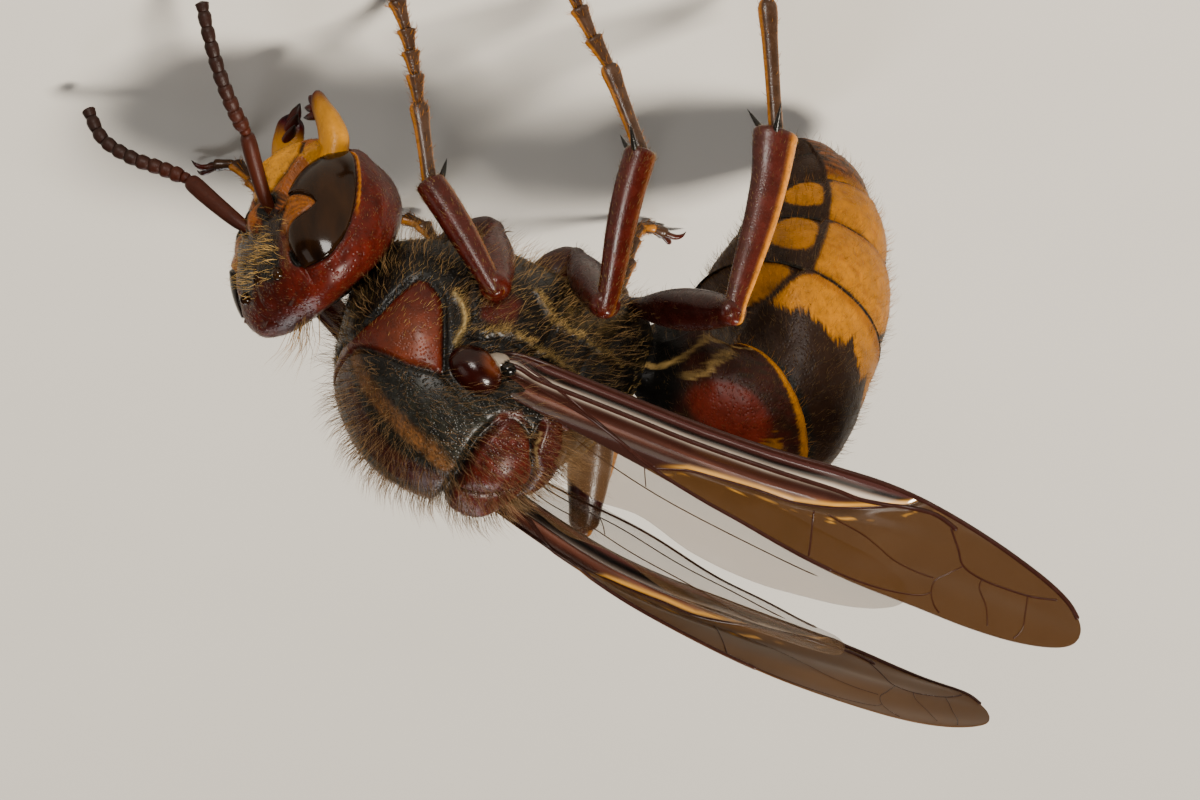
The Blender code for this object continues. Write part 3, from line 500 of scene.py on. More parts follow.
def thorax_relief(spots, facing, u, v):
    half = folded(spots)
    rise = np.zeros(len(spots))
    for centre, radii, height in THORAX_SWELLINGS:
        rise += swelling(half, centre, radii, height)
    for depth, width, line in SEAMS:
        rise -= depth * bell(distance_to(half, line), width)
    for height, width, line in RIDGES:
        rise += height * bell(distance_to(half, line), width)
    return rise + 0.007 * waves(spots, 0.5, 3)

# %% [markdown]
# Colours are linear light values, much darker than they look on a screen. The back of the thorax is black
# with a grey-green dusting, two tan stripes and a maroon band between them. The collar and the domes are
# red-brown, with a painted highlight on the collar, and the flanks are black under golden down, with one red
# patch below the wing root.

# %% Thorax colours
BLACK = np.array((0.0022, 0.0018, 0.0013))
RED_PLATE = np.array((0.054, 0.0046, 0.0010))
# orange-brown: the tegula's spot, and the colour of the painted highlight on the collar
ORANGE_BROWN = np.array((0.105, 0.022, 0.0050))
MAROON = np.array((0.018, 0.0024, 0.0010))
TAN = np.array((0.090, 0.036, 0.010))
GOLD_DOWN = np.array((0.30, 0.19, 0.06))
CREAM = np.array((0.40, 0.29, 0.12))
DUSTING = np.array((0.0095, 0.0092, 0.0055))
DOWNY_FLANK = ((1.0, -0.6), (1.4, 0.9), (2.9, 0.8), (2.8, -0.7))     # both seen from the side
RED_FLANK = ((4.2, 1.0), (4.25, 1.75), (4.8, 2.05), (5.25, 1.9), (5.25, 1.1), (4.7, 0.85))
# the middle of the painted highlight on the collar
COLLAR_HIGHLIGHT = (6.9, 2.6, 3.2)


def thorax_colour(spots, facing, u, v):
    half = folded(spots)
    forward, side, up = half.T
    rough, fine = waves(spots, 0.35, 5), waves(spots, 0.12, 6)
    colour = np.tile(BLACK, (len(spots), 1))
    dusted = smooth(up, 3.8, 4.6) * np.clip(0.45 + 0.3 * rough + 0.35 * fine, 0, 1)
    colour = mix(colour, DUSTING, dusted)
    colour = mix(colour, MAROON, fade(side, 0.42, 0.72) * smooth(forward, 4.3, 4.8) * smooth(up, 2.9, 3.4))
    stripe = fade(distance_to(half, STRIPE), 0.10 + 0.05 * rough, 0.40 + 0.07 * fine)
    grain = waves(spots, 0.06, 8)
    colour = mix(colour, TAN, stripe * np.clip(0.62 + 0.25 * fine + 0.35 * grain, 0, 1))

    # golden down on the ridges of the flank, and its red patch
    flank = fade(up, 2.9, 3.3)
    down = np.zeros(len(spots))
    for height, width, line in RIDGES:
        down = np.maximum(down, fade(distance_to(half, line), 0.03, 0.12))
    down = np.maximum(down, 0.35 * inside(half[:, [0, 2]], DOWNY_FLANK, 0.5))
    colour = mix(colour, GOLD_DOWN * 0.5, np.clip(down * (0.4 + 0.3 * rough + 0.3 * fine) * flank, 0, 1))
    patch = inside(half[:, [0, 2]], RED_FLANK, 0.25)
    colour = mix(colour, RED_PLATE * 0.6, patch * (side > 2))

    # the red plates, from the metanotum forward to the collar, which has a painted highlight
    colour = mix(colour, RED_PLATE * 0.45, inside(half[:, :2], METANOTUM, 0.12) * (up > 3.0))
    colour = mix(colour, RED_PLATE * (0.6 + 0.15 * rough)[:, None], inside(half[:, :2], SCUTELLUM, 0.1) * (up > 4.0))
    # painted highlight: the collar turns lighter and orange round one spot
    painted_highlight = bell(away_from(half, COLLAR_HIGHLIGHT), 0.85)
    collar = mix(np.tile(RED_PLATE * 0.75, (len(spots), 1)), ORANGE_BROWN, 0.6 * painted_highlight)
    colour = mix(colour, collar, inside(half[:, [0, 2]], COLLAR, 0.08))

    # black seams, a cream line on the flank's fold and another behind the scutellum
    for _, width, line in SEAMS[2:6]:
        colour = mix(colour, BLACK, fade(distance_to(half, line), 0.05, width))
    colour = mix(colour, BLACK, fade(distance_to(half, SEAMS[0][2]), 0.03, 0.09))
    fold = bell(distance_to(half, RIDGES[2][2]), 0.06) * (up > 1.2)
    colour = mix(colour, CREAM, 0.6 * fold)
    edge = np.abs(distance_to(half, SEAMS[4][2]) - 0.13) + 0.6 * (forward < 2.0 - 0.1 * side)
    return mix(colour, CREAM, 0.35 * fade(edge, 0.005, 0.03) * (up > 4.2))


THORAX = Skin(thorax_outline, thorax_place, thorax_relief, thorax_colour)
THORAX_MATERIAL = chitin("thorax_chitin", 0.34, pits=11000, pit_depth=0.7, mottle=0.4, shine=0.19)
show(net(THORAX.at, 260, 320, THORAX.paint), "thorax_skin", [THORAX_MATERIAL],
     ("mesothorax", "propodeum", "pronotum", "scutellum", "metanotum"))

# %% [markdown]
# The abdomen is a chain of overlapping rings that curls under. Each ring's rear rim laps the next one, so the
# skin rises to the rim and drops in a short step behind it. The rows of the net crowd at the rims to keep
# those steps crisp. A second, lengthwise step on each flank is the edge of the upper plate over the lower.

# %% Abdomen outline
RIMS = (   # centre from the waist, tilt of the axis, radius upwards
    ((-0.15, 0.0, 0.0), -16.0, 0.42), ((-3.85, 0.28, 1.0), 28.7, 2.5), ((-5.05, 0.35, -2.22), 64.0, 3.1),
    ((-5.98, 0.42, -4.4), 71.5, 2.55), ((-6.36, 0.46, -6.2), 84.2, 1.98), ((-6.36, 0.46, -7.6), 93.6, 1.3),
    ((-6.22, 0.45, -8.72), 98.0, 0.1))
FIRST_RING = (   # place within the ring, radius
    (0.0, 0.42), (0.1, 0.62), (0.22, 1.25), (0.4, 1.95), (0.6, 2.32), (0.8, 2.47), (0.96, 2.5), (1, 2.48))
RINGS = len(RIMS) - 1
ABDOMEN_YAW = math.radians(4.2)
RING_LAP = 0.94     # a ring starts a little thinner than the rim that laps over it


def abdomen_axes(tilt):
    """Rearward, upward and sideways directions of a section whose axis dips by tilt degrees."""
    tilt = np.radians(tilt)[:, None]
    level = np.array((-math.cos(ABDOMEN_YAW), math.sin(ABDOMEN_YAW), 0))
    up = np.array((0, 0, 1.0))
    heading = np.cos(tilt) * level - np.sin(tilt) * up
    dorsal = np.sin(tilt) * level + np.cos(tilt) * up
    return heading, dorsal, np.cross(heading, dorsal)


def abdomen_section(u):
    """Centre, radius, dorsal and side directions, ring number and the place within the ring."""
    along = np.clip(u * RINGS, 0, RINGS - 1e-6)
    ring = along.astype(int)
    f = along - ring
    centres = np.array([row[0] for row in RIMS])
    tilts, radii = np.array([row[1] for row in RIMS]), np.array([row[2] for row in RIMS])
    start, end = centres[ring], centres[ring + 1]
    reach = np.linalg.norm(end - start, axis=1)[:, None]
    leave, arrive = abdomen_axes(tilts[ring])[0] * reach, abdomen_axes(tilts[ring + 1])[0] * reach
    g = f[:, None]
    centre = ((2 * g ** 3 - 3 * g ** 2 + 1) * start + (g ** 3 - 2 * g ** 2 + g) * leave
              + (3 * g ** 2 - 2 * g ** 3) * end + (g ** 3 - g ** 2) * arrive)
    _, dorsal, side = abdomen_axes(tilts[ring] + (tilts[ring + 1] - tilts[ring]) * f)
    first = np.interp(f, *np.array(FIRST_RING).T)
    lap = radii[ring] * RING_LAP
    swell = np.where(ring < 5, 0.06, 0.14) * np.sin(math.pi * f) * lap
    later = lap + (radii[ring + 1] - lap) * f + swell
    return centre, np.where(ring == 0, first, later), dorsal, side, ring, f


def abdomen_outline(u, v):
    centre, radius, dorsal, side, _, _ = abdomen_section(u)
    across, height = power(np.cos(v), 2 / 2.05), power(np.sin(v), 2 / 2.05)
    along = u * RINGS
    # the first lower plate hangs down at its root and fills the corner below the waist
    deep = 0.9 + 0.75 * bell(along - 0.28, 0.22) + 2.2 * bell(along - 0.05, 0.11)
    height = np.where(height > 0, height, height * deep)
    return centre + side * (across * radius * 1.07)[:, None] + dorsal * (height * radius)[:, None]


print("abdomen rings:", RINGS, "and widest, mm:", 2 * 1.07 * max(row[2] for row in RIMS))

# %% [markdown]
# Two steps make the rings read as plates. One drops behind each rear rim, and one runs along the flank, where
# the upper plate laps the lower one. Both are a few hundredths of a millimetre, just enough to catch light.

# %% Abdomen relief
def flank_angle(u):
    """Where the upper plate ends on the flank, as an angle below the level."""
    return np.interp(u * RINGS, (0, 0.6, 1.15, 1.6, 2.0, 3.0, 6.0), np.radians((-25, -38, -70, -32, -10, -10, -12)))


def abdomen_relief(spots, facing, u, v):
    _, radius, _, _, ring, f = abdomen_section(u)
    rim = -0.05 * smooth(f, 0.965, 1.0) * (ring < 5)
    below = turned(v - math.pi / 2) - math.pi / 2 + flank_angle(u)
    step = -0.09 * smooth(below, -0.02, 0.03) * smooth(radius, 0.6, 1.2)
    return rim + step + 0.01 * waves(spots, 0.6, 7)

# %% [markdown]
# Colour goes by ring and girth. The first ring is brown-maroon with a red patch, olive down below and a
# yellow rear rim. The second is dark in front with a wavy border and yellow behind. The later rings are
# yellow with thin dark rims and a dark base mark on the back, and the tip is brown.

# %% Abdomen colours
YELLOW = np.array((0.270, 0.098, 0.0002))
AMBER = np.array((0.17, 0.044, 0.0006))
BROWN = np.array((0.015, 0.0056, 0.0022))
RED_PATCH = np.array((0.078, 0.0076, 0.0024))


def patch_on_ring(f, girth, middle, sizes):
    """An oval patch on one ring, soft at its edge; middle and sizes are along the ring and round it."""
    return fade(np.hypot((f - middle[0]) / sizes[0], (girth - middle[1]) / sizes[1]), 0.8, 1.1)


def first_ring_colour(flat, f, girth, rough, fine):
    """Brown-maroon with a red patch, two olive downy lines and a yellow rear rim."""
    colour = mix(flat, MAROON * 1.4, 0.5 + 0.4 * rough)
    colour = mix(colour, RED_PATCH, patch_on_ring(f, girth, (0.52, 58), (0.24, 26)))
    colour = mix(colour, YELLOW * 0.7, 0.8 * patch_on_ring(f, girth, (0.76, 36 + 6 * fine), (0.07, 12)))
    colour = mix(colour, BLACK, fade(f, 0.2, 0.32))
    lower = np.interp(f, (0.0, 0.12, 0.22, 0.35, 0.65, 0.9), (96, 92, 96, 108, 130, 128))
    upper = np.interp(f, (0.25, 0.35, 0.45, 0.65), (78, 84, 98, 116))
    upper_down = 0.9 * fade(np.abs(girth - upper + 3 * fine), 2, 6) * smooth(f, 0.2, 0.3) * fade(f, 0.6, 0.7)
    olive = np.maximum(fade(np.abs(girth - lower + 1.5 * fine), 1.5, 4), upper_down)
    colour = mix(colour, GOLD_DOWN * 0.8, np.clip(olive * (0.65 + 0.3 * rough + 0.2 * fine), 0, 1))
    return mix(colour, YELLOW, smooth(f + 0.006 * fine, 0.925, 0.945))


def second_ring_colour(flat, f, girth, fine):
    """Dark in front and yellow behind a wavy border with two dark notches."""
    border = 0.64 + 0.035 * np.sin(girth / 7) + 0.03 * fine - 0.10 * smooth(girth, 70, 110)
    colour = mix(flat * 0.8, YELLOW, smooth(f - border, -0.012, 0.015))
    notch = bell(girth - 34, 5) + 0.7 * bell(girth - 62, 4)
    return mix(colour, flat * 0.8, smooth(border + 0.13 * notch - f, -0.01, 0.015))


def later_ring_colour(f, girth, rough, fine):
    """Yellow clouded with amber, with a dark mark on the back at the front of the ring."""
    back = np.interp(girth, (0, 14, 26, 36), (0.62, 0.5, 0.2, 0.0))
    colour = mix(np.tile(BLACK * 1.5, (len(f), 1)), YELLOW, smooth(f - back + 0.04 * fine, 0.0, 0.04))
    return mix(colour, AMBER, 0.45 * smooth(rough + 0.4 * fine, 0.1, 1.2))

# %% [markdown]
# The three laws meet in one colour for the whole abdomen. Below the edge of the upper plates each ring carries
# a yellow oval on brown. Thin dark rims and an amber margin part the rings, and a brown line runs along the
# flank.

# %% Abdomen skin
def abdomen_colour(spots, facing, u, v):
    _, _, _, _, ring, f = abdomen_section(u)
    girth = np.degrees(turned(v - math.pi / 2))     # 0 on the back, 180 below
    rough, fine = waves(spots, 0.4, 9), waves(spots, 0.13, 11)
    flat = np.tile(BROWN, (len(spots), 1))
    first = first_ring_colour(flat, f, girth, rough, fine)
    second = second_ring_colour(flat, f, girth, fine)
    later = later_ring_colour(f, girth, rough, fine)
    colour = np.where((ring == 0)[:, None], first, np.where((ring == 1)[:, None], second, later))
    tip = mix(flat, AMBER * 0.8, np.clip(0.45 + 0.5 * rough, 0, 1))
    colour = mix(colour, tip, smooth(u * RINGS, 4.05, 4.3))

    # the lower plates
    below = girth - 90 + np.degrees(flank_angle(u))     # degrees past the edge of the upper plate
    middle, reach = np.where(ring == 1, 0.71, 0.62), np.where(ring == 1, 0.26, 0.34)
    oval = np.hypot((f - middle) / reach, (below - 18 + 2 * fine) / 20)
    belly = mix(flat, YELLOW, fade(oval, 0.9, 1.05) * (ring > 0) * (ring < 4))
    colour = mix(colour, belly, smooth(below, -1, 1) * smooth(u * RINGS, 1.2, 1.6))

    # the rims, and the line along the flank
    rim = smooth(f, 0.955, 0.975) * (ring > 0)
    colour = mix(colour, BLACK * 2, np.maximum(rim, fade(f, 0.03, 0.08) * (ring > 0)))
    amber_rim = smooth(f, 0.88, 0.94) * (1 - rim) * (ring > 0) * fade(below, -2, 4)
    colour = mix(colour, AMBER * 0.7, 0.6 * amber_rim)
    corner = smooth(below + 60 * (f - 0.93), -8, -3) * (below < 0) * (f > 0.5)
    edge = np.maximum(fade(np.abs(below), 2.0, 5 + fine), corner)
    return mix(colour, BROWN, edge * (ring > 0))


def abdomen_rows(count):
    """Row places along the abdomen, crowded at both ends of each ring."""
    f = np.linspace(0, 1, count)
    crowd = f - 0.13 * np.sin(2 * math.pi * f)
    crowd[-1] = 0.9995
    return np.concatenate([(ring + crowd) / RINGS for ring in range(RINGS)])


ABDOMEN = Skin(abdomen_outline, lambda local: local, abdomen_relief, abdomen_colour, 0.0008)
ABDOMEN_MATERIAL = chitin("abdomen_chitin", 0.42, pits=9000, pit_depth=0.55, mottle=0.28, shine=0.12)
rows = abdomen_rows(48)
show(net(ABDOMEN.at, len(rows) - 1, 300, ABDOMEN.paint, rows), "abdomen_skin", [ABDOMEN_MATERIAL],
     [f"abdomen_{number}" for number in range(1, 7)])

# %% [markdown]
# The head is a deep lens seen from the side and nearly round from the front. The cheek and crown are satin
# red, the face below the crown is orange with two dark sockets for the antennae, and the shield over the
# mouth is yellow. The eye is a polished ellipsoid of its own. Where it lies the skin sinks under it, with a
# black groove and a thin gold rim at its rear edge, and a leaf of skin, the bay, runs into it from the front.

# %% Head outline
HEAD_CENTRE = np.array((9.62, -0.3, -3.47))
HEAD_TURN = turn("Z", -12.2) @ turn("Y", 21.3) @ turn("X", -6.7)
HEAD_PROFILE = (   # height, half width, front, back
    (-2.8, 0.8, 1.15, 0.7), (-2.45, 1.55, 1.6, 1.5), (-1.7, 2.25, 1.85, 1.95), (-0.9, 2.7, 1.9, 2.05),
    (0.0, 2.92, 1.82, 1.95), (0.8, 3.0, 1.65, 1.7), (1.5, 2.85, 1.4, 1.3), (2.1, 2.4, 1.05, 1.0),
    (2.5, 1.75, 0.65, 0.75), (2.7, 0.95, 0.2, 0.45))
EYE_CENTRE = np.array((-0.56, 1.82, -0.09))
EYE_RADII = np.array((2.24, 1.2, 2.54))
EYE_YAW, EYE_ROLL = -6.0, -8.8     # degrees, of the left eye
EYE_TURN = turn("Z", EYE_YAW) @ turn("X", EYE_ROLL)
NO_DOME = -0.4     # taken where a line out of the head misses the dome


def head_outline(u, v):
    height, half, front, back = eased(HEAD_PROFILE, u * (len(HEAD_PROFILE) - 1)).T
    across, ahead = np.cos(v), np.sin(v)
    exponent = np.where(ahead > 0, 2 / 2.35, 2 / 2.8)
    across, ahead = power(across, exponent), power(ahead, exponent)
    return np.stack([(front - back) / 2 + (front + back) / 2 * ahead, half * across, height], axis=1)


def head_place(local):
    return local @ HEAD_TURN.T + HEAD_CENTRE


def eye_rise(half, facing):
    """How far the eye's dome lies beyond the head's outline, along its outward direction."""
    spot = (half - EYE_CENTRE) @ EYE_TURN / EYE_RADII
    way = facing @ EYE_TURN / EYE_RADII
    a, b, c = np.sum(way * way, 1), np.sum(spot * way, 1), np.sum(spot * spot, 1) - 1
    root = b * b - a * c
    return np.where(root > 0, (-b + np.sqrt(np.maximum(root, 0))) / a, NO_DOME)


print("head, mm wide and high:", 2 * max(row[1] for row in HEAD_PROFILE), HEAD_PROFILE[-1][0] - HEAD_PROFILE[0][0])

# %% [markdown]
# The eye's edge is drawn on a map of the head: the angle round from the front, as millimetres of girth, and
# the height. The edge has the deep bay of a hornet's eye in its front side. The same line sinks the skin
# under the dome, cuts the groove round it and lays the thin gold rim behind it.

# %% The edge of the eye
GIRTH_SCALE = 2.6     # millimetres of the head's girth to one radian
EYE_EDGE = (   # degrees round from the front, height
    (84.3, 1.85), (87.2, 1.45), (88.4, 1.03), (88.2, 0.4), (86.6, -0.31), (83.5, -1.1), (77.6, -2.0), (68, -2.3),
    (57, -2.1), (49, -1.6), (44, -1.0), (41, -0.45), (41, -0.12), (46, -0.02), (54, 0.02), (62, 0.1), (67.0, 0.28),
    (66.0, 0.52), (61.6, 0.8), (56.5, 1.05), (54.5, 1.25), (56.5, 1.6), (62, 1.95), (69, 2.1), (77.1, 2.1))


def head_map(half):
    """The head's surface laid flat: girth from the front and height, in millimetres."""
    return np.stack([np.arctan2(np.abs(half[:, 1]), half[:, 0]) * GIRTH_SCALE, half[:, 2]], axis=1)


def closed_line(points):
    """A soft closed line: the points run on past the start, so the curve has no corner there."""
    ring = np.array(points + points[:1] + points[1:2] + points[-1:], float)
    ring = np.concatenate([ring[-1:], ring[:-1]])
    return eased(ring, np.linspace(1, len(points) + 1, 4 * len(points), endpoint=False))


EYE_LINE = closed_line(EYE_EDGE) * (math.radians(1) * GIRTH_SCALE, 1)


def eye_depth(half):
    """Millimetres inside the eye's edge, below 0 outside it."""
    depth = depth_in(head_map(half), EYE_LINE)
    return np.where(np.abs(half[:, 1]) < 0.9, np.minimum(depth, -0.5), depth)


print("points on the eye's edge:", len(EYE_LINE))

# %% [markdown]
# The relief of the head sinks the skin to the eye's dome, and raises the orbit, the face between the sockets,
# the shield over the mouth and the low knob of the simple eyes. A groove runs down the middle of the brow.

# %% Head relief
SOCKET = np.array((1.72, 0.72, 0.12))
BROW_LINE = ((1.8, 0, 0.9), (1.5, 0, 1.5), (1.1, 0, 2.0))
CROWN_KNOB = ((0.62, 0.52, 2.2), (1.0, 0.0, 1.9), (0.55, 0.0, 2.3))
SHIELD = ((-0.3, -0.45), (0.55, -0.5), (1.0, -1.0), (1.12, -1.7), (0.75, -2.3), (-0.3, -2.45))


def head_relief(spots, facing, u, v):
    half = folded(spots)
    away = facing * np.where(spots[:, 1:2] < 0, (1, -1, 1), (1, 1, 1))
    deepest = NO_DOME + 0.23 * smooth(half[:, 2], 0.6, 1.2)     # the crown's edge only dips a little to the dome
    rise = np.clip(eye_rise(half, away), deepest, 0.5)
    depth = eye_depth(half)
    near = fade(-depth, 0.05, 0.7)
    relief = near * (rise - 0.04) * smooth(rise - deepest, 0.0, 0.05)

    # the groove round the eye, with the rim and the swollen orbit behind it
    relief -= 0.25 * smooth(depth, 0.0, 0.1)
    relief -= 0.06 * bell(depth + 0.06, 0.035)
    rear = smooth(head_map(half)[:, 0], 3.4, 3.9)
    relief += 0.05 * bell(depth + 0.13, 0.04) * rear
    relief += 0.10 * bell(depth + 0.75, 0.4) * rear

    # the face, its shield and the sockets
    relief += swelling(half, (1.8, 0.0, 0.3), (1.0, 0.62, 0.75), 0.3)
    shield = depth_in(half[:, 1:], SHIELD)
    in_front = smooth(half[:, 0], 0.5, 1.0)
    relief += (0.3 * smooth(shield, 0.0, 0.9) + 0.06 * smooth(shield, -0.03, 0.06)) * in_front
    relief -= 0.09 * bell(shield + 0.05, 0.06) * in_front
    relief -= swelling(half, SOCKET, (0.6, 0.36, 0.36), 0.3)
    relief += 0.08 * bell(away_from(half, SOCKET) - 0.4, 0.07)
    relief -= 0.07 * bell(distance_to(half, BROW_LINE), 0.09)
    relief += 0.1 * bell(distance_to(half, CROWN_KNOB), 0.35)
    return relief + 0.003 * waves(spots, 0.4, 13)

# %% [markdown]
# The colours of the head start from satin red. The face turns orange and the top of the brow black, the shield
# is yellow in a brown outline, and the bay in the eye has fine rays. The eye's rim comes last: black against
# the dome, with a thin gold line behind it.

# %% Head colours
HEAD_RED = np.array((0.042, 0.0036, 0.0013))
FACE_ORANGE = np.array((0.17, 0.046, 0.006))
SHIELD_YELLOW = np.array((0.34, 0.140, 0.004))
BAY_ORANGE = np.array((0.19, 0.056, 0.007))
BROW_DARK = (1.1, 0.75, 1.85)     # the middle of the dark ground round a simple eye


def head_colour(spots, facing, u, v):
    half = folded(spots)
    ahead, side, up = half.T
    depth = eye_depth(half)
    girth = head_map(half)[:, 0]
    rough, fine = waves(spots, 0.5, 15), waves(spots, 0.12, 16)
    colour = np.tile(HEAD_RED, (len(spots), 1)) * (1 + 0.2 * rough)[:, None]
    front = fade(girth, 1.9, 2.4)
    brow = 0.3 + 0.35 * fade(side, 0.35, 0.6)     # the orange of the face climbs between the sockets
    colour = mix(colour, FACE_ORANGE, front * fade(up + 0.1 * fine, brow - 0.2, brow + 0.15))
    crown = front * smooth(up + 0.15 * fine, brow - 0.15, brow + 0.2) * fade(up, 1.9, 2.3)
    colour = mix(colour, BLACK * 1.5, crown * (0.9 + 0.1 * rough))
    colour = mix(colour, MAROON, 0.6 * smooth(up, 2.0, 2.35) * fade(side, 0.7, 1.2))
    colour = mix(colour, BLACK * 1.5, fade(away_from(half, BROW_DARK), 0.4, 0.65 + 0.08 * fine))
    colour = mix(colour, BLACK, fade(away_from(half, SOCKET), 0.4, 0.55 + 0.1 * fine))

    # the shield in its brown outline, and the jowl beside it
    outline = np.abs(depth_in(half[:, 1:], SHIELD) + 0.05)
    colour = mix(colour, SHIELD_YELLOW, inside(half[:, 1:], SHIELD, 0.08) * (ahead > 0.6))
    colour = mix(colour, BROWN, fade(outline, 0.03, 0.08) * (ahead > 0.6))
    jowl = (ahead > 0.5) & (up < -1.5)
    colour = mix(colour, SHIELD_YELLOW * 0.8, 0.8 * jowl * smooth(side, 1.05, 1.25) * fade(girth, 3.0, 3.4))

    # the bay in the eye, with its rays, then the rim round the eye
    in_bay = smooth(girth, 1.95, 2.1) * fade(girth, 3.05, 3.15) * smooth(up, -0.3, -0.1) * fade(up, 1.0, 1.3)
    rays = 0.85 + 0.2 * np.sin(34 * np.arctan2(up - 0.35, 3.4 - girth)) + 0.15 * fine
    colour = mix(colour, BAY_ORANGE * rays[:, None], in_bay * (depth < 0))
    rim = fade(np.abs(depth + 0.125), 0.015, 0.04) * smooth(-up, -0.5, 0.3) * smooth(girth, 3.3, 3.6)
    colour = mix(colour, YELLOW * (1.0, 0.85, 1), rim)
    margin = fade(np.abs(depth + 0.16), 0.03, 0.12) * fade(girth, 2.6, 3.0) * (1 - in_bay)
    colour = mix(colour, GOLD_DOWN, 0.08 * margin)
    colour = mix(colour, BLACK, smooth(depth, -0.085, -0.06))
    behind = (ahead < -1.2) & (side < 1.6)
    return mix(colour, BLACK, 0.8 * behind)


HEAD = Skin(head_outline, head_place, head_relief, head_colour)
HEAD_MATERIAL = chitin("head_chitin", 0.33, pits=8000, pit_depth=0.8, mottle=0.3, shine=0.13)
show(net(HEAD.at, 240, 400, HEAD.paint), "head_skin", [HEAD_MATERIAL], ("head",))

# %% [markdown]
# The eye of the real animal is a glossy dome of thousands of facets, dark brown with paler streaks inside.
# A sphere is scaled to the three radii, turned, and cut flat inside the head. The facets are far finer than
# a pixel, so they are a bump, and the streaks are stretched noise.

# %% Eyes
def eye_material():
    material, tree, shader = new_material("eye_polish")
    shader.inputs["Roughness"].default_value = 0.1
    shader.inputs["Specular IOR Level"].default_value = 0.14
    place = tree.nodes.new("ShaderNodeTexCoord").outputs["Object"]
    stretch = add_node(tree, "ShaderNodeMapping", Scale=(1.0, 1.0, 0.3))
    tree.links.new(place, stretch.inputs["Vector"])
    noise_colours(tree, shader, stretch.outputs["Vector"], (0.3, (0.0012, 0.0006, 0.0004)),
                  (0.72, (0.018, 0.0065, 0.0016)), Scale=1500.0, Detail=3.0)
    facets = add_node(tree, "ShaderNodeTexVoronoi", Scale=28000.0)
    tree.links.new(place, facets.inputs["Vector"])
    add_bump(tree, shader, facets.outputs["Distance"], 0.05, 0.00001)
    return material


EYE_MATERIAL = eye_material()
EYE_FLAT = 1.3     # the dome is cut this far from the middle plane, inside the head
EYE_BACK = -0.35   # and this far behind the head's middle
EDGE_SLOPE, EDGE_SINK = 1.7, 0.6     # how fast and how far the dome sinks outside the eye's edge


def head_matrix():
    return Matrix.Translation(HEAD_CENTRE) @ Matrix(HEAD_TURN.tolist()).to_4x4()


def sink_edge(eye, side):
    """Turns the dome down into the head outside the eye's edge, round the bay too."""
    spots = np.array([vert.co.to_tuple() for vert in eye.verts]) * (1, side, 1)
    outward = unit((spots - EYE_CENTRE) @ EYE_TURN / EYE_RADII ** 2) @ EYE_TURN.T
    sink = np.clip(-EDGE_SLOPE * eye_depth(spots), 0, EDGE_SINK)
    spots = (spots - outward * sink[:, None]) * (1, side, 1)
    for vert, spot in zip(eye.verts, spots.tolist()):
        vert.co = spot


for side, word in ((1, "left"), (-1, "right")):
    eye = bmesh.new()
    bmesh.ops.create_uvsphere(eye, u_segments=280, v_segments=180, radius=1)
    bmesh.ops.scale(eye, vec=EYE_RADII, verts=eye.verts)
    lean = (Matrix.Rotation(math.radians(side * EYE_YAW), 4, "Z")
            @ Matrix.Rotation(math.radians(side * EYE_ROLL), 4, "X"))
    seat = Matrix.Translation((EYE_CENTRE[0], side * EYE_CENTRE[1], EYE_CENTRE[2]))
    bmesh.ops.transform(eye, matrix=seat @ lean, verts=eye.verts)
    for spot, way in (((0, side * EYE_FLAT, 0), (0, -side, 0)), ((EYE_BACK, 0, 0), (-1, 0, 0))):
        bmesh.ops.bisect_plane(eye, geom=eye.verts[:] + eye.edges[:] + eye.faces[:], dist=1e-5,
                               plane_co=spot, plane_no=way, clear_outer=True)
        bmesh.ops.holes_fill(eye, edges=[edge for edge in eye.edges if edge.is_boundary], sides=0)
    sink_edge(eye, side)
    bmesh.ops.recalc_face_normals(eye, faces=eye.faces)
    bmesh.ops.transform(eye, matrix=head_matrix(), verts=eye.verts)
    show(eye, "eye_dome_" + word, [EYE_MATERIAL], ("eye_" + word,))

# %% [markdown]
# Between the large eyes three simple eyes (ocelli) sit in a triangle on the crown. They are small glass-like
# beads, so spheres that are half sunk in the skin are enough.

# %% Simple eyes
OCELLI = ((1.1, 0.0, 2.02), (0.92, 1.05, 2.2), (0.92, -1.05, 2.2))
OCELLUS_RADIUS = 0.19
ocelli = bmesh.new()
for spot in OCELLI:
    bmesh.ops.create_uvsphere(ocelli, u_segments=24, v_segments=16, radius=OCELLUS_RADIUS,
                              matrix=head_matrix() @ Matrix.Translation(spot))
show(ocelli, "ocelli", [EYE_MATERIAL])

# %% [markdown]
# Legs, antennae and jaws are limbs: a path with two half widths at each of its points. The net wraps round
# the path as it does round the body. A limb may be flat, so it also gets the direction of its broad side.

# %% Limbs
def direction_along(path, u, step):
    """The direction in which a soft path runs at shares u of its length."""
    last = len(path) - 1
    return unit(eased(path, np.clip(u + step, 0, 1) * last) - eased(path, np.clip(u - step, 0, 1) * last))


def limb(path, sizes, broad, paint, steps=60, sides=24, hairy=None):
    """A closed limb along a path. Each size is the half width across and through the limb."""
    path, sizes, broad = np.asarray(path, float), np.asarray(sizes, float), np.asarray(broad, float)

    def shape(u, v):
        ahead = direction_along(path, u, 0.01)
        across = unit(broad - ahead * (ahead @ broad)[:, None])
        through = np.cross(ahead, across)
        wide, thin = eased(sizes, u * (len(sizes) - 1)).T
        spots = eased(path, u * (len(path) - 1))
        return spots + across * (np.cos(v) * wide)[:, None] + through * (np.sin(v) * thin)[:, None]

    if hairy is not None:
        hairy.append(shape)
    return net(shape, steps, sides, paint)


def between(start, end, shares):
    """Points on the straight line from start to end, at shares of its length."""
    return start + (end - start) * np.array(shares)[:, None]


def plain(colour):
    """One colour all over the limb."""
    return lambda u, v: np.tile(np.asarray(colour, float), (len(u), 1))


def graded(*colours):
    """Colours that follow one another along the limb."""
    return lambda u, v: eased(colours, u * (len(colours) - 1))


print("a third of the way from 0 to 9:", between(0.0, 9.0, (1 / 3,))[0])

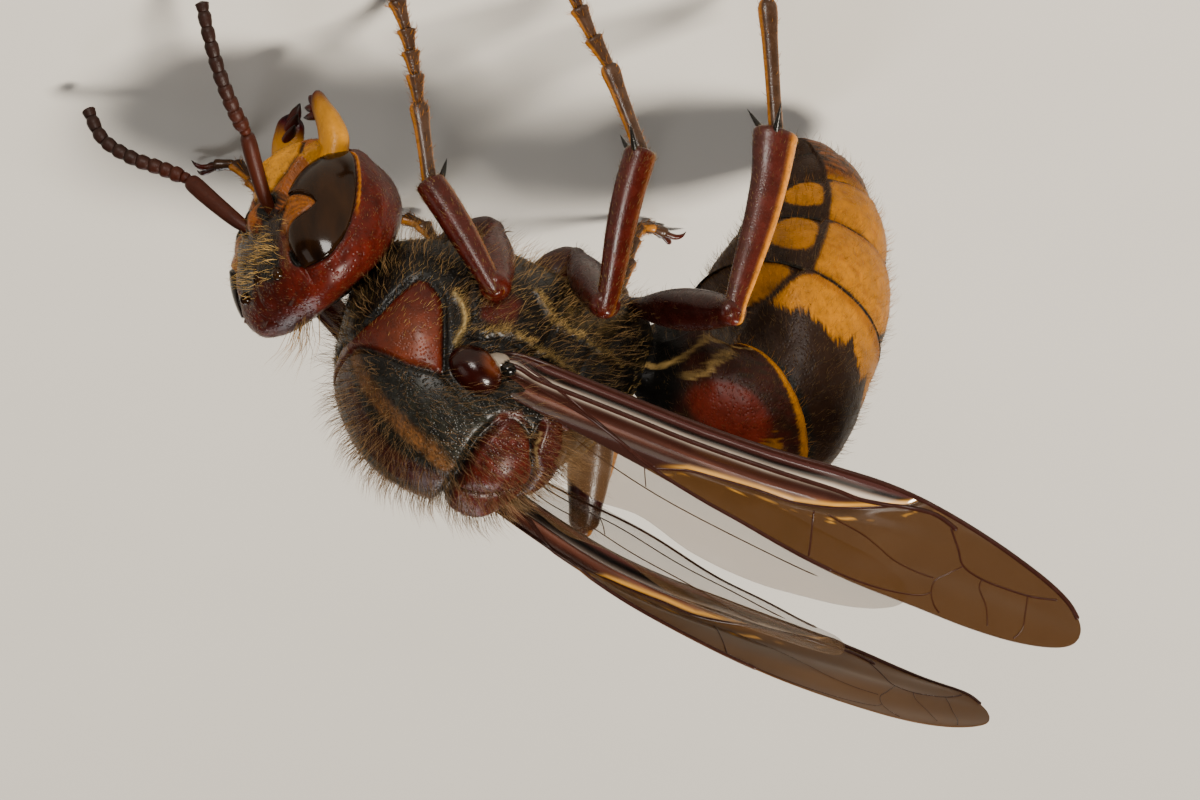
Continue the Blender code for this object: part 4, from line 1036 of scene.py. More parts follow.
# %% [markdown]
# A leg has a stout coxa at the body, a ring-like trochanter, a thick dark femur, a tibia that widens to its
# end, a long first foot segment and four short flared ones, then a pad and two claws. Two black spurs stand
# at the tibia's end. The hind tibia is dull grey-pink with an orange rear edge, the middle one glossy red.

# %% Leg places and sizes
LEGS = {   # coxa start, hip, knee, ankle, then the ends of the five foot segments and the claws
    "hind_right": ((1.25, -0.9, -1.0), (0.3, -1.5, -1.43), (-1.33, -5.6, 0.71), (-2.64, -6.9, -4.64),
                   (-2.22, -8.3, -8.2), (-2.35, -9.0, -9.05), (-2.75, -9.8, -9.16), (-3.05, -10.3, -9.16),
                   (-3.6, -11.0, -9.16)),
    "middle_right": ((2.75, -0.9, -2.0), (1.93, -1.5, -2.99), (2.5, -5.18, 0.63), (1.5, -6.6, -3.79),
                     (2.48, -7.2, -6.22), (2.99, -7.45, -6.97), (3.43, -7.7, -7.78), (3.75, -7.9, -8.5),
                     (4.0, -8.15, -9.08), (4.6, -8.6, -9.16)),
    "front_right": ((5.75, -0.75, -2.7), (4.3, -1.25, -3.85), (5.3, -3.69, -0.46), (7.0, -3.6, -3.9),
                    (7.3, -4.1, -6.2), (7.45, -4.4, -7.0), (7.6, -4.6, -7.65), (7.75, -4.8, -8.25),
                    (8.05, -5.05, -9.05), (8.6, -5.45, -9.16)),
    "hind_left": ((1.25, 0.9, -1.0), (0.3, 1.5, -1.43), (0.0, 5.0, 2.48), (-1.6, 6.2, -2.8),
                  (-2.5, 6.7, -6.6), (-2.9, 6.85, -7.7), (-3.15, 6.95, -8.5), (-3.4, 7.1, -9.0),
                  (-3.9, 7.35, -9.16), (-4.5, 7.65, -9.16)),
    "middle_left": ((2.75, 0.9, -2.0), (1.93, 1.5, -2.99), (2.4, 5.1, 0.3), (1.9, 6.7, -4.1),
                    (2.5, 7.2, -6.65), (2.8, 7.4, -7.5), (3.05, 7.55, -8.25), (3.3, 7.7, -8.8),
                    (3.75, 8.0, -9.14), (4.4, 8.35, -9.16)),
    "front_left": ((5.75, 0.75, -2.7), (4.3, 1.25, -3.85), (5.9, 4.3, -1.4), (8.1, 4.4, -4.4),
                   (8.8, 4.6, -6.4), (9.05, 4.8, -7.15), (9.25, 4.95, -7.8), (9.5, 5.1, -8.4),
                   (9.9, 5.4, -9.08), (10.5, 5.75, -9.16)),
}
FEMUR_RADIUS = {"hind": 0.68, "middle": 0.62, "front": 0.62}
TIBIA_WIDTHS = {"hind": (0.27, 0.33, 0.42, 0.50, 0.57, 0.66, 0.62),
                "middle": (0.25, 0.32, 0.38, 0.44, 0.47, 0.48, 0.43),
                "front": (0.25, 0.32, 0.38, 0.44, 0.47, 0.47, 0.40)}
TIBIA_FLATNESS = {"hind": 0.62, "middle": 0.85, "front": 0.85}
TIBIA_BOW = {"hind": 1.4, "middle": -0.8, "front": 0.5}     # how far it bows to the rear, as a share
SPURS = {"hind": (50, -50), "middle": (50, -50), "front": (20,)}     # degrees round the tibia
SPUR_LENGTH = {"hind": 1.0, "middle": 0.9, "front": 0.75}
REARWARD = np.array((-1.0, 0.0, 0.0))     # the broad side of every leg faces this way
print("legs:", len(LEGS))

# %% [markdown]
# Leg colours run along the limb, and the orange edge of the hind tibia runs down one side of it, which is the
# angle round the limb. The feet are brown with two amber edges.

# %% Leg colours
LEG_RED = np.array((0.036, 0.0030, 0.0008))
LEG_DARK = np.array((0.0125, 0.0016, 0.0009))
GREY_PINK = np.array((0.034, 0.0068, 0.0045))
ORANGE_EDGE = np.array((0.40, 0.140, 0.008))
FOOT_BROWN = np.array((0.032, 0.015, 0.0075))
LEG_MATERIAL = chitin("leg_chitin", 0.26, pits=14000, pit_depth=0.25, mottle=0.35, shine=0.22)
COXA_COLOUR = {"hind": LEG_DARK * 1.3, "middle": LEG_DARK * 1.3, "front": LEG_RED * 0.4}
FEMUR_COLOUR = {"hind": LEG_DARK, "middle": LEG_DARK * 1.4, "front": LEG_RED * 0.9}
TIBIA_COLOUR = {"hind": GREY_PINK, "middle": LEG_RED * 0.85, "front": LEG_RED * 0.85}
EDGE_SHARE = {"hind": 1.0, "middle": 0.12, "front": 0.3}     # of the orange in the rear edge


def tibia_paint(kind):
    """The colour law of one kind of tibia."""
    def colours(u, v):
        colour = mix(np.tile(TIBIA_COLOUR[kind], (len(u), 1)), LEG_RED, 0.7 * fade(u, 0.05, 0.25))
        if kind == "hind":
            middle = 0.5 * bell(v - 1.5 * math.pi, 0.5) * fade(u, 0.7, 0.9)
            colour = mix(colour, LEG_RED * 1.2, middle)
        rear = fade(turned(v + 0.15), 0.5, 0.95)
        return mix(colour, ORANGE_EDGE, rear * EDGE_SHARE[kind] * smooth(u, 0.03, 0.15))

    return colours


def foot_paint(u, v):
    """Brown with an amber edge on both sides."""
    edges = np.maximum(fade(turned(v), 0.3, 0.7), fade(turned(v - math.pi), 0.3, 0.7))
    return mix(np.tile(FOOT_BROWN, (len(u), 1)), ORANGE_EDGE * 0.8, edges * 0.8)


print("leg colours for:", ", ".join(TIBIA_COLOUR))

# %% [markdown]
# Each part of a leg is one limb. The tables below give the shares of the way at which its sections lie and the
# half widths there. The ends close to a point inside the next part, so no part needs to be joined by hand.

# %% Leg parts
COXA_SIZES = ((0.5, 0.45), (0.8, 0.72), (0.76, 0.7), (0.44, 0.42), (0.02, 0.02))
FEMUR_PLACES = (-0.04, 0.0, 0.12, 0.3, 0.5, 0.72, 0.9, 1.0, 1.045)
TIBIA_PLACES = (-0.075, -0.05, 0.05, 0.25, 0.5, 0.75, 0.93, 1.0, 1.02)
TIBIA_CURVE = (0, 0, -0.03, 0.02, 0.09, 0.09, 0.02, 0, 0)
SPUR_SIZES = ((0.11, 0.11), (0.075, 0.075), (0.005, 0.005))
FOOT_PLACES = (-0.04, 0.0, 0.3, 0.7, 0.95, 1.03)
FIRST_FOOT_SIZES = ((0.05, 0.05), (0.21, 0.17), (0.22, 0.17), (0.25, 0.18), (0.3, 0.2), (0.1, 0.08))
FOOT_SIZES = ((0.05, 0.05), (0.15, 0.14), (0.19, 0.16), (0.24, 0.18), (0.29, 0.2), (0.1, 0.08))
LAST_FOOT_PLACES = (-0.06, 0.1, 0.5, 0.85, 0.95)
LAST_FOOT_SIZES = ((0.05, 0.05), (0.15, 0.13), (0.18, 0.16), (0.22, 0.18), (0.05, 0.05))
HAIRY_LEGS = {"femur": [], "tibia": [], "foot": []}


def add_thigh(leg, kind, root, hip, knee):
    """The coxa with the small ring (trochanter) at its end, and the femur."""
    path = (root + (root - hip) * 0.35, root, root * 0.45 + hip * 0.55, hip, hip + unit(hip - root) * 0.25)
    add_to(leg, limb(path, COXA_SIZES, REARWARD, plain(COXA_COLOUR[kind])))
    thick = FEMUR_RADIUS[kind]
    girths = (0.02, 0.3, 0.36, thick * 0.82, thick, thick * 0.94, 0.5, 0.42, 0.02)
    shade = FEMUR_COLOUR[kind]
    colours = graded(LEG_DARK, shade, shade, shade * 1.1, LEG_RED * 0.8)
    add_to(leg, limb(between(hip, knee, FEMUR_PLACES), [(girth, girth * 0.92) for girth in girths], REARWARD,
                     colours, hairy=HAIRY_LEGS["femur"]))


def add_shin(leg, kind, knee, ankle, toe):
    """The tibia, and the spurs that point from its end along the foot."""
    line = between(knee, ankle, TIBIA_PLACES) + np.outer(TIBIA_CURVE, REARWARD * TIBIA_BOW[kind])
    widths = (0.02, *TIBIA_WIDTHS[kind], 0.02)
    add_to(leg, limb(line, [(width, width * TIBIA_FLATNESS[kind]) for width in widths], REARWARD,
                     tibia_paint(kind), 90, 32, hairy=HAIRY_LEGS["tibia"]))
    axis = unit(ankle - knee)
    ahead = unit(toe - ankle)
    ahead = unit(ahead - axis * (ahead @ axis))
    for degrees in SPURS[kind]:
        outward = np.array(Matrix.Rotation(math.radians(degrees), 3, Vector(axis))) @ ahead
        start = ankle - axis * 0.15 + outward * 0.3
        tip = start + (axis * 0.72 + outward * 0.69) * SPUR_LENGTH[kind]
        add_to(leg, limb((start, start * 0.5 + tip * 0.5, tip), SPUR_SIZES, REARWARD, plain(BLACK * 2), 12, 10))


def add_foot(leg, toes):
    """Foot segments that flare to their ends, and a last one without a flare."""
    for number, (start, end) in enumerate(zip(toes[:-2], toes[1:])):
        sizes = FIRST_FOOT_SIZES if number == 0 else FOOT_SIZES
        add_to(leg, limb(between(start, end, FOOT_PLACES), sizes, REARWARD, foot_paint, 24, 16,
                         hairy=HAIRY_LEGS["foot"]))
    add_to(leg, limb(between(toes[-2], toes[-1], LAST_FOOT_PLACES), LAST_FOOT_SIZES, REARWARD, plain(FOOT_BROWN),
                     20, 14))


def add_claws(leg, root, along):
    """Two curved claws and the soft pad between them."""
    along = unit(along * (1, 1, 0.2))
    for degrees in (32, -32):
        way = turn("Z", degrees) @ along
        path = (root - along * 0.25, root + way * 0.25 + (0, 0, 0.1), root + way * 0.5 + (0, 0, 0.06),
                root + way * 0.66 + (0, 0, -0.1))
        add_to(leg, limb(path, ((0.09, 0.1), (0.09, 0.1), (0.06, 0.07), (0.006, 0.006)), (0, 0, 1),
                         graded(FOOT_BROWN, LEG_RED, BLACK * 2), 16, 10))
    path = (root - along * 0.2, root + along * 0.05, root + along * 0.22)
    add_to(leg, limb(path, ((0.08, 0.1), (0.1, 0.14), (0.02, 0.03)), (0, 0, 1), plain(FOOT_BROWN * 0.5), 10, 10))

# %% Build the six legs
for leg_name, leg_spots in LEGS.items():
    kind = leg_name.split("_")[0]
    root, hip, knee, *toes = [np.array(spot) for spot in leg_spots]
    leg = painted_bmesh()
    add_thigh(leg, kind, root, hip, knee)
    add_shin(leg, kind, knee, *toes[:2])
    add_foot(leg, toes)
    add_claws(leg, toes[-1], unit(toes[-1] - toes[-2]))
    show(leg, "leg_" + leg_name, [LEG_MATERIAL],
         [f"leg_{leg_name}_{part}" for part in ("coxa", "femur", "tibia", "tarsus")])

# %% [markdown]
# The photo hides the antennae and the mouth. A worker's antenna has a long first segment, a bead and ten
# short segments that end in a blunt tip. Its jaws are broad yellow plates with dark teeth that meet below
# the shield. Both follow the solids, which set their reach.

# %% Antennae
def in_head(spots, side):
    """Places given for the left half of the head, on the given side and where the head stands."""
    return head_place(np.asarray(spots, float) * (1, side, 1))


ANTENNA_MATERIAL = chitin("antenna_chitin", 0.45, pits=16000, pit_depth=0.3, mottle=0.2)
ANTENNA_RED = np.array((0.034, 0.0058, 0.0016))
ANTENNA_DARK = np.array((0.013, 0.0040, 0.0022))
SCAPE_PATH = ((1.45, 0.68, 0.32), (1.65, 0.74, 0.28), (2.1, 0.95, 0.1), (2.9, 1.45, -0.4), (3.5, 1.84, -0.82),
              (3.62, 1.92, -0.9))
SCAPE_SIZES = ((0.24, 0.24), (0.16, 0.16), (0.22, 0.2), (0.26, 0.23), (0.25, 0.22), (0.04, 0.04))
FEELER_PATH = ((3.6, 1.9, -0.9), (4.3, 2.35, -1.05), (5.2, 2.85, -1.5), (6.1, 3.3, -2.2), (6.8, 3.55, -3.0))
FEELER_LIFT = {1: 0.7, -1: 0.0}     # the left one is held higher
SEGMENTS = 11                       # the bead and the ten short segments


def build_antenna(side, word):
    antenna = painted_bmesh()
    add_to(antenna, limb(in_head(SCAPE_PATH, side), SCAPE_SIZES, (0, 0, 1),
                         graded(ANTENNA_RED, ANTENNA_RED, ANTENNA_RED * 0.8), 40, 20))
    lift = np.outer((0, 0, 0.5, 1, 1), (0, 0, FEELER_LIFT[side]))
    feeler = in_head(np.array(FEELER_PATH) + lift, side)
    stops = np.linspace(0, len(feeler) - 1, SEGMENTS + 1)
    for number, (start, end) in enumerate(zip(stops, stops[1:])):
        girth = 0.17 if number == 0 else 0.235 - 0.004 * number
        close = 0.03 if number == SEGMENTS - 1 else girth * 0.8
        sizes = [(size, size) for size in (girth * 0.8, girth * 0.95, girth, girth * 1.02, close)]
        shade = ANTENNA_RED + (ANTENNA_DARK - ANTENNA_RED) * min(number / 5, 1)
        add_to(antenna, limb(eased(feeler, np.linspace(start, end, 5)), sizes, (0, 0, 1), plain(shade), 12, 18))
    show(antenna, "antenna_dressed_" + word, [ANTENNA_MATERIAL],
         (f"antenna_{word}_scape", f"antenna_{word}_flagellum"))


for side, word in ((1, "left"), (-1, "right")):
    build_antenna(side, word)

# %% [markdown]
# Each jaw is a broad limb that narrows to a tip, with three dark teeth on its inner side. The teeth are small
# limbs that start inside the jaw.

# %% Jaws
JAW_PATH = ((0.7, 1.3, -1.9), (0.9, 1.42, -2.5), (1.2, 1.32, -3.0), (1.45, 1.1, -3.4), (1.6, 0.85, -3.75),
            (1.68, 0.7, -3.98))
JAW_SECTIONS = ((0.5, 0.45), (0.58, 0.45), (0.56, 0.38), (0.5, 0.3), (0.42, 0.22), (0.06, 0.05))
JAW_TEETH = (((1.62, 0.75, -3.7), (1.75, 0.3, -4.1)), ((1.58, 0.85, -3.5), (1.72, 0.24, -3.72)),
             ((1.5, 1.0, -3.25), (1.66, 0.3, -3.36)))
TOOTH_SIZES = ((0.2, 0.16), (0.17, 0.12), (0.02, 0.02))
JAW_MATERIAL = chitin("jaw_chitin", 0.35, pits=9000, pit_depth=0.35, mottle=0.2)


def build_jaw(side, word):
    jaw = painted_bmesh()
    broad = HEAD_TURN @ (0.1, side * 0.86, 0.5)
    add_to(jaw, limb(in_head(JAW_PATH, side), JAW_SECTIONS, broad,
                     graded(SHIELD_YELLOW, SHIELD_YELLOW, SHIELD_YELLOW * 0.8, LEG_RED, BLACK * 2), 48, 32))
    for root, tip in JAW_TEETH:
        spots = in_head((root, (np.array(root) + tip) / 2, tip), side)
        add_to(jaw, limb(spots, TOOTH_SIZES, broad, graded(LEG_RED, BLACK * 2), 16, 14))
    show(jaw, "jaw_" + word, [JAW_MATERIAL], ("mandible_" + word,))


for side, word in ((1, "left"), (-1, "right")):
    build_jaw(side, word)

# %% [markdown]
# At rest a hornet folds each forewing once along its length, so the wing is a narrow, pleated blade of
# amber film. One net makes each wing: its girth runs over the upper face and back along the lower one. The
# pleats bend both faces together, and the veins are thin limbs that lie in the blade and stand out of it.

# %% Wing places
WINGS = {   # middle line of the blade and the direction across it
    "forewing_right": (((5.05, -2.55, 1.6), (4.3, -2.85, 2.0), (-0.09, -3.1, 4.06), (-4.1, -3.4, 6.08),
                        (-7.63, -3.7, 7.6), (-11.6, -4.0, 9.73)), (0.3, 0.61, 0.73)),
    "forewing_left": (((5.05, 2.55, 1.6), (4.3, 2.85, 2.1), (0.43, 3.2, 4.66), (-3.39, 3.4, 6.43),
                       (-8.32, 3.7, 7.9), (-11.9, 4.0, 8.42)), (0.25, -0.45, 0.86)),
    "hindwing_right": (((3.9, -2.0, 1.6), (2.6, -1.65, 2.9), (-0.06, -1.2, 4.36), (-4.07, -1.5, 6.4),
                        (-7.2, -2.0, 7.75)), (0.3, 0.61, 0.73)),
    "hindwing_left": (((3.9, 2.0, 1.6), (2.6, 1.8, 3.1), (0.3, 1.75, 4.5), (-3.4, 2.0, 6.3),
                       (-6.8, 2.3, 7.4)), (0.25, -0.45, 0.86)),
}
FRONT_EDGE = {"forewing": (-0.45, -0.56, -0.68, -0.80, -0.96, -1.24, -1.60, -1.70, -1.50, -1.27, -1.0),
              "hindwing": (-0.35, -0.47, -0.68, -0.98, -1.18, -1.25, -1.2, -1.1, -0.95, -0.8, -0.6)}
REAR_EDGE = {"forewing": (0.45, 0.55, 0.66, 0.77, 0.93, 1.10, 1.27, 1.38, 1.34, 1.17, 0.9),
             "hindwing": (0.35, 0.55, 0.85, 1.12, 1.22, 0.95, 1.2, 1.2, 1.0, 0.8, 0.6)}
TIP_ROUND = 0.17        # the last share of the length, over which the tip is rounded
WING_FILM = 0.03        # half thickness of the membrane, mm
BLADE_LENGTH = 17.6     # of a forewing, mm
print("wings:", ", ".join(WINGS))

# %% [markdown]
# Veins are what make an insect's wing look real, so each is given as a line over the blade. They branch and
# meet in closed cells near the tip. Two more lines matter: the crest of the main pleat, which carries a
# painted highlight, and the fold, beyond which the film is a single amber sheet.

# %% Veins and folds
VEINS = {   # radius, then places: share of the length, millimetres from the middle line towards the rear edge
    "forewing": (
        (0.075, ((0.0, -0.32), (0.145, -0.56), (0.3, -0.75), (0.45, -1.02), (0.6, -1.52), (0.7, -1.64), (0.82, -1.42),
                 (0.9, -1.12), (0.95, -0.8), (0.98, -0.46))),
        (0.075, ((0.0, -0.14), (0.16, -0.26), (0.23, -0.17), (0.34, -0.31), (0.42, -0.43), (0.51, -0.68), (0.6, -0.94),
                 (0.65, -0.98), (0.7, -1.16), (0.76, -1.36), (0.80, -1.2))),
        (0.055, ((0.05, 0.05), (0.15, -0.43), (0.2, -0.33), (0.26, -0.11), (0.3, 0.2), (0.35, 0.55), (0.385, 0.72))),
        (0.06, ((0.05, 0.15), (0.17, 0.02), (0.21, 0.03), (0.28, 0.19), (0.33, 0.44), (0.386, 0.8), (0.45, 0.98),
                (0.52, 1.07), (0.6, 1.2), (0.65, 1.26))),
        (0.05, ((0.384, 0.78), (0.42, 0.42), (0.456, 0.26), (0.514, 0.04), (0.561, -0.09), (0.615, -0.42),
                (0.659, -0.78), (0.7, -1.14))),
        (0.042, ((0.79, -1.2), (0.81, -0.74), (0.826, -0.34), (0.852, -0.23), (0.88, -0.3), (0.91, -0.44),
                 (0.94, -0.7))),
        (0.036, ((0.905, -0.42), (0.912, 0.1), (0.917, 0.5), (0.913, 0.9))),
        (0.036, ((0.852, -0.23), (0.854, 0.05), (0.87, 0.44), (0.881, 0.93))),
        (0.036, ((0.826, -0.34), (0.812, 0.08), (0.801, 0.4), (0.803, 0.75), (0.814, 1.05), (0.825, 1.2))),
        (0.036, ((0.803, 0.75), (0.788, 0.98), (0.747, 1.18), (0.693, 1.27), (0.638, 1.24), (0.613, 1.22))),
        (0.036, ((0.8, 0.35), (0.765, 0.39), (0.731, 0.32), (0.699, 0.11), (0.667, -0.07), (0.61, -0.2))),
        (0.04, ((0.611, 1.16), (0.604, 0.66), (0.591, -0.16))),
    ),
    "hindwing": (   # finer and fewer
        (0.034, ((0.0, -0.25), (0.2, -0.6), (0.5, -1.15), (0.8, -0.9), (0.92, -0.6))),
        (0.02, ((0.0, -0.05), (0.2, -0.2), (0.4, -0.5), (0.6, -0.55), (0.85, -0.35))),
        (0.018, ((0.0, 0.1), (0.2, 0.1), (0.4, 0.12), (0.6, 0.2), (0.8, 0.3))),
        (0.016, ((0.45, -0.5), (0.48, 0.12))),
    ),
}
# the crest of the main pleat, along which a highlight is painted on the folded film
BRIGHT_BAND = ((0.0, -0.2), (0.16, -0.26), (0.23, -0.17), (0.28, -0.22), (0.34, -0.31), (0.42, -0.43), (0.51, -0.68),
               (0.6, -1.0), (0.75, -1.3))
FOLD_LINE = ((0.3, 1.6), (0.384, 0.79), (0.42, 0.42), (0.456, 0.26), (0.514, 0.04), (0.561, -0.09), (0.615, -0.42),
             (0.659, -0.78), (0.72, -1.3), (0.76, -2.0))
print("forewing veins:", len(VEINS["forewing"]), "hind wing veins:", len(VEINS["hindwing"]))

# %% [markdown]
# The films have three finishes: the thin amber sheet, the glossy folded part and the nearly clear hind wing.
# Their colours are kept apart from the finishes, as the markings of the net.

# %% Wing materials
FILM_AMBER = np.array((0.042, 0.0185, 0.0054))
FILM_DARK = np.array((0.018, 0.0050, 0.0030))
FILM_PURPLE = np.array((0.036, 0.0115, 0.0095))
# painted pink sheen on the folded film, beside the crest
PINK_SHEEN = np.array((0.09, 0.030, 0.018))
# painted highlight on the crest of the main pleat
CREST_HIGHLIGHT = np.array((0.50, 0.42, 0.34))
# painted gold glints along the fold and on the outer film
GOLD_GLINT = np.array((0.50, 0.24, 0.035))
HIND_BROWN = np.array((0.085, 0.045, 0.018))
VEIN_RED = np.array((0.020, 0.006, 0.004))
LIT_THROUGH = 1.6     # light falls through the far wing towards the camera, so its film is paler


def film(name, alpha, roughness, shine):
    """A smooth film; alpha 1 is opaque."""
    material = chitin(name, roughness, pits=3000, pit_depth=0.0, mottle=0.06, grain=600, shine=shine)
    material.node_tree.nodes["Principled BSDF"].inputs["Alpha"].default_value = alpha
    return material


FORE_FILM = film("forewing_film", 0.9, 0.3, 0.12)
FORE_FOLDED = film("forewing_folded", 1.0, 0.2, 0.7)
HIND_FILM = film("hindwing_film", 0.3, 0.3, 0.2)
VEIN_MATERIAL = chitin("vein_chitin", 0.25, pits=9000, pit_depth=0.05, mottle=0.15)
print("wing materials:", [material.name for material in (FORE_FILM, FORE_FOLDED, HIND_FILM, VEIN_MATERIAL)])

# %% [markdown]
# A spot on a wing is given by s, its share of the length, and d, its millimetres from the middle line. The
# blade bends that flat map along the wing's path and adds the pleats. The film and the veins both use it, so
# the veins follow every pleat.

# %% Wing shape
def table(rows, at):
    """Straight steps through a table of places and values."""
    rows = np.array(rows)
    return np.interp(at, rows[:, 0], rows[:, 1])


class Wing:
    """The form and the colours of one wing."""

    def __init__(self, name):
        self.path, across = WINGS[name]
        self.kind = name.split("_")[0]
        self.across = np.array(across)
        self.outward = 1 if name.endswith("left") else -1

    def blade(self, s, d):
        """The middle sheet at a share of the length and millimetres across, and its outward side."""
        ahead = direction_along(self.path, s, 0.005)
        over = unit(self.across - ahead * (ahead @ self.across)[:, None])
        out = np.cross(ahead, over) * self.outward
        middle = eased(self.path, s * (len(self.path) - 1))
        return middle + over * d[:, None] + out * self.pleat(s, d)[:, None], out

    def pleat(self, s, d):
        """How far the sheet is bent outwards."""
        if self.kind == "hindwing":
            return 0.05 * np.sin(d * 5) + 0.03 * np.sin(s * 25 + d * 3)
        inner = fade(s, 0.5, 0.75)
        x = d - table(BRIGHT_BAND, s)
        folds = (0.17 * bell(x, 0.2) - 0.14 * bell(x + 0.36, 0.15)
                 - 0.12 * bell(x - 0.45, 0.2) + 0.12 * bell(x - 0.85, 0.2))
        crease = -0.07 * bell(d - table(FOLD_LINE, s), 0.12) * smooth(s, 0.36, 0.42)
        return folds * (0.15 + 0.85 * inner) + crease + 0.035 * (1 - inner) * np.sin(d * 4 + s * 14)

    def spread(self, u, c):
        """Millimetres across for c from -1 at the front edge to 1 at the rear edge."""
        near, far = eased(FRONT_EDGE[self.kind], u * 10)[:, 0], eased(REAR_EDGE[self.kind], u * 10)[:, 0]
        close = np.sqrt(np.clip(1 - (np.maximum(u - 1 + TIP_ROUND, 0) / TIP_ROUND) ** 2, 0.0001, 1))
        return (near + (far - near) * (c + 1) / 2) * close

    def sheet_place(self, v):
        """Whether an angle round the net is on the upper face, and its place across, from -1 to 1."""
        upper = v <= math.pi
        return upper, np.where(upper, 1 - 2 * v / math.pi, 2 * (v - math.pi) / math.pi - 1)

    def shape(self, u, v):
        """The net's surface: two faces a film's thickness apart, closed round the edge."""
        upper, c = self.sheet_place(v)
        spots, out = self.blade(u, self.spread(u, c))
        thick = WING_FILM * np.sqrt(np.clip(1 - np.abs(c) ** 12, 0, 1))
        return spots + out * np.where(upper, thick, -thick)[:, None]

    def inner_share(self, s, d):
        """1 on the folded inner part of a forewing, 0 beyond the fold."""
        if self.kind == "hindwing":
            return np.zeros(len(s))
        return smooth(table(FOLD_LINE, s) - d, -0.02, 0.02)

    def paint(self, u, v):
        """Dark and purple bands on the pleats, with painted light: a pink sheen beside the crest, a highlight on the
        crest, and gold glints along the fold and on the outer film.
        """
        _, c = self.sheet_place(v)
        d = self.spread(u, c)
        if self.kind == "hindwing":
            return np.tile(HIND_BROWN, (len(u), 1))
        x = d - table(BRIGHT_BAND, u)
        streak = waves(np.stack([u * 2.0, d * 3, d * 0], 1), 1.0, 71)
        inner = np.tile(FILM_DARK, (len(u), 1))
        inner = mix(inner, FILM_PURPLE, smooth(-x, 0.2, 0.3))
        # painted pink sheen in a band beside the crest
        inner = mix(inner, PINK_SHEEN, bell(x - 0.5, 0.12) * (0.5 + 0.3 * streak))
        # painted highlight along the crest
        inner = mix(inner, CREST_HIGHLIGHT, 0.75 * bell(x, 0.10) * smooth(u, 0.05, 0.15))
        inner = mix(inner, BLACK, bell(x + 0.2, 0.045))
        fold = table(FOLD_LINE, u) - d
        # painted gold glints along the fold
        inner = mix(inner, GOLD_GLINT, bell(fold - 0.1, 0.07) * smooth(u, 0.38, 0.44) * 0.8)
        outer = mix(np.tile(FILM_AMBER, (len(u), 1)), FILM_DARK, 0.3 * smooth(-x, 0.0, 0.4))
        # painted gold glints on the outer film, in short streaks
        ripple = np.clip(1.6 * np.sin(u * 63 + 5 * streak) * np.sin(u * 23), 0, 1)
        glint = bell(fold + 0.22 + 0.1 * streak + 0.8 * (u - 0.5), 0.035) * ripple * fade(u, 0.66, 0.8)
        outer = mix(outer, GOLD_GLINT * 0.7, np.clip(glint, 0, 1))
        return mix(outer, inner, self.inner_share(u, d)) * (LIT_THROUGH if self.outward > 0 else 1.0)

    def vein(self, radius, line):
        """A thin limb that follows a line over the blade."""
        line = np.array(line)
        places = np.linspace(0, len(line) - 1, 8 * len(line))
        s, d = eased(line, places).T
        spots, out = self.blade(s, d)
        sizes = np.full(len(spots), radius)
        sizes[0] = sizes[-1] = 0.2 * radius
        return limb(spots, np.stack([sizes, sizes], 1), out[0], plain(VEIN_RED), len(spots) * 2, 8)


for wing_name in WINGS:
    print(wing_name, "tip, mm from the waist:", Wing(wing_name).blade(np.ones(1), np.zeros(1))[0][0].round(1))

# %% [markdown]
# The folded part of a forewing is marked face by face. Each face's middle is laid back on the flat map, from
# the nearest of many spots on the middle line, and the map says on which side of the fold it lies.

# %% Build the four wings
LINE_SPOTS = 400     # on the middle line
BATCH = 20000        # faces at a time, to save memory


def mark_folded(wing, form):
    """Gives the folded inner part of the blade its own finish."""
    middles = np.array([face.calc_center_median().to_tuple() for face in wing.faces])
    shares = np.linspace(0.0, 1.0, LINE_SPOTS)
    line, _ = form.blade(shares, np.zeros(LINE_SPOTS))
    ahead = unit(np.gradient(line, axis=0))
    over = unit(form.across - ahead * (ahead @ form.across)[:, None])
    for start in range(0, len(middles), BATCH):
        part = middles[start:start + BATCH]
        near = np.argmin(((part[:, None] - line[None]) ** 2).sum(2), axis=1)
        s = shares[near] + np.sum((part - line[near]) * ahead[near], 1) / BLADE_LENGTH
        d = np.sum((part - line[near]) * over[near], 1)
        for index in np.nonzero(form.inner_share(s, d) > 0.5)[0]:
            wing.faces[start + int(index)].material_index = 1


def build_wing(name):
    form = Wing(name)
    fore = form.kind == "forewing"
    materials = [FORE_FILM, FORE_FOLDED, VEIN_MATERIAL] if fore else [HIND_FILM, VEIN_MATERIAL]
    wing = net(form.shape, 380 if fore else 200, 176 if fore else 100, form.paint)
    veins = painted_bmesh()
    for radius, line in VEINS[form.kind]:
        add_to(veins, form.vein(radius, line))
    for face in veins.faces:
        face.material_index = len(materials) - 1
    if fore:
        mark_folded(wing, form)
    add_to(wing, veins)
    show(wing, name + "_blade", materials, (name,))


for wing_name in WINGS:
    build_wing(wing_name)

# %% [markdown]
# The tegula is the small glossy shell over the wing root, with a black bead where the wing turns. Each is a
# sphere scaled and leaned against the flank.

# %% Wing roots
TEGULA_MATERIAL = chitin("tegula_gloss", 0.2, pits=14000, pit_depth=0.15, mottle=0.25, shine=0.2)
SHELL_RED = RED_PLATE * 0.16
HINGE_PALE = (0.16, 0.13, 0.10)
SHELL_SPOT = (5.8, 2.8, 1.75)
BEADS = (   # centre and radii: the black bead, then two pale hinge plates
    ((4.85, 3.0, 1.78), (0.24, 0.2, 0.2)), ((5.12, 3.0, 1.5), (0.36, 0.16, 0.24)),
    ((4.75, 2.85, 1.45), (0.3, 0.2, 0.16)))
RUST_SPOT = (5.4, 3.3, 1.75)


def near_to(vert, spot, side):
    """How far a vertex is from a spot that is given for the left side."""
    return (vert.co - Vector((spot[0], side * spot[1], spot[2]))).length


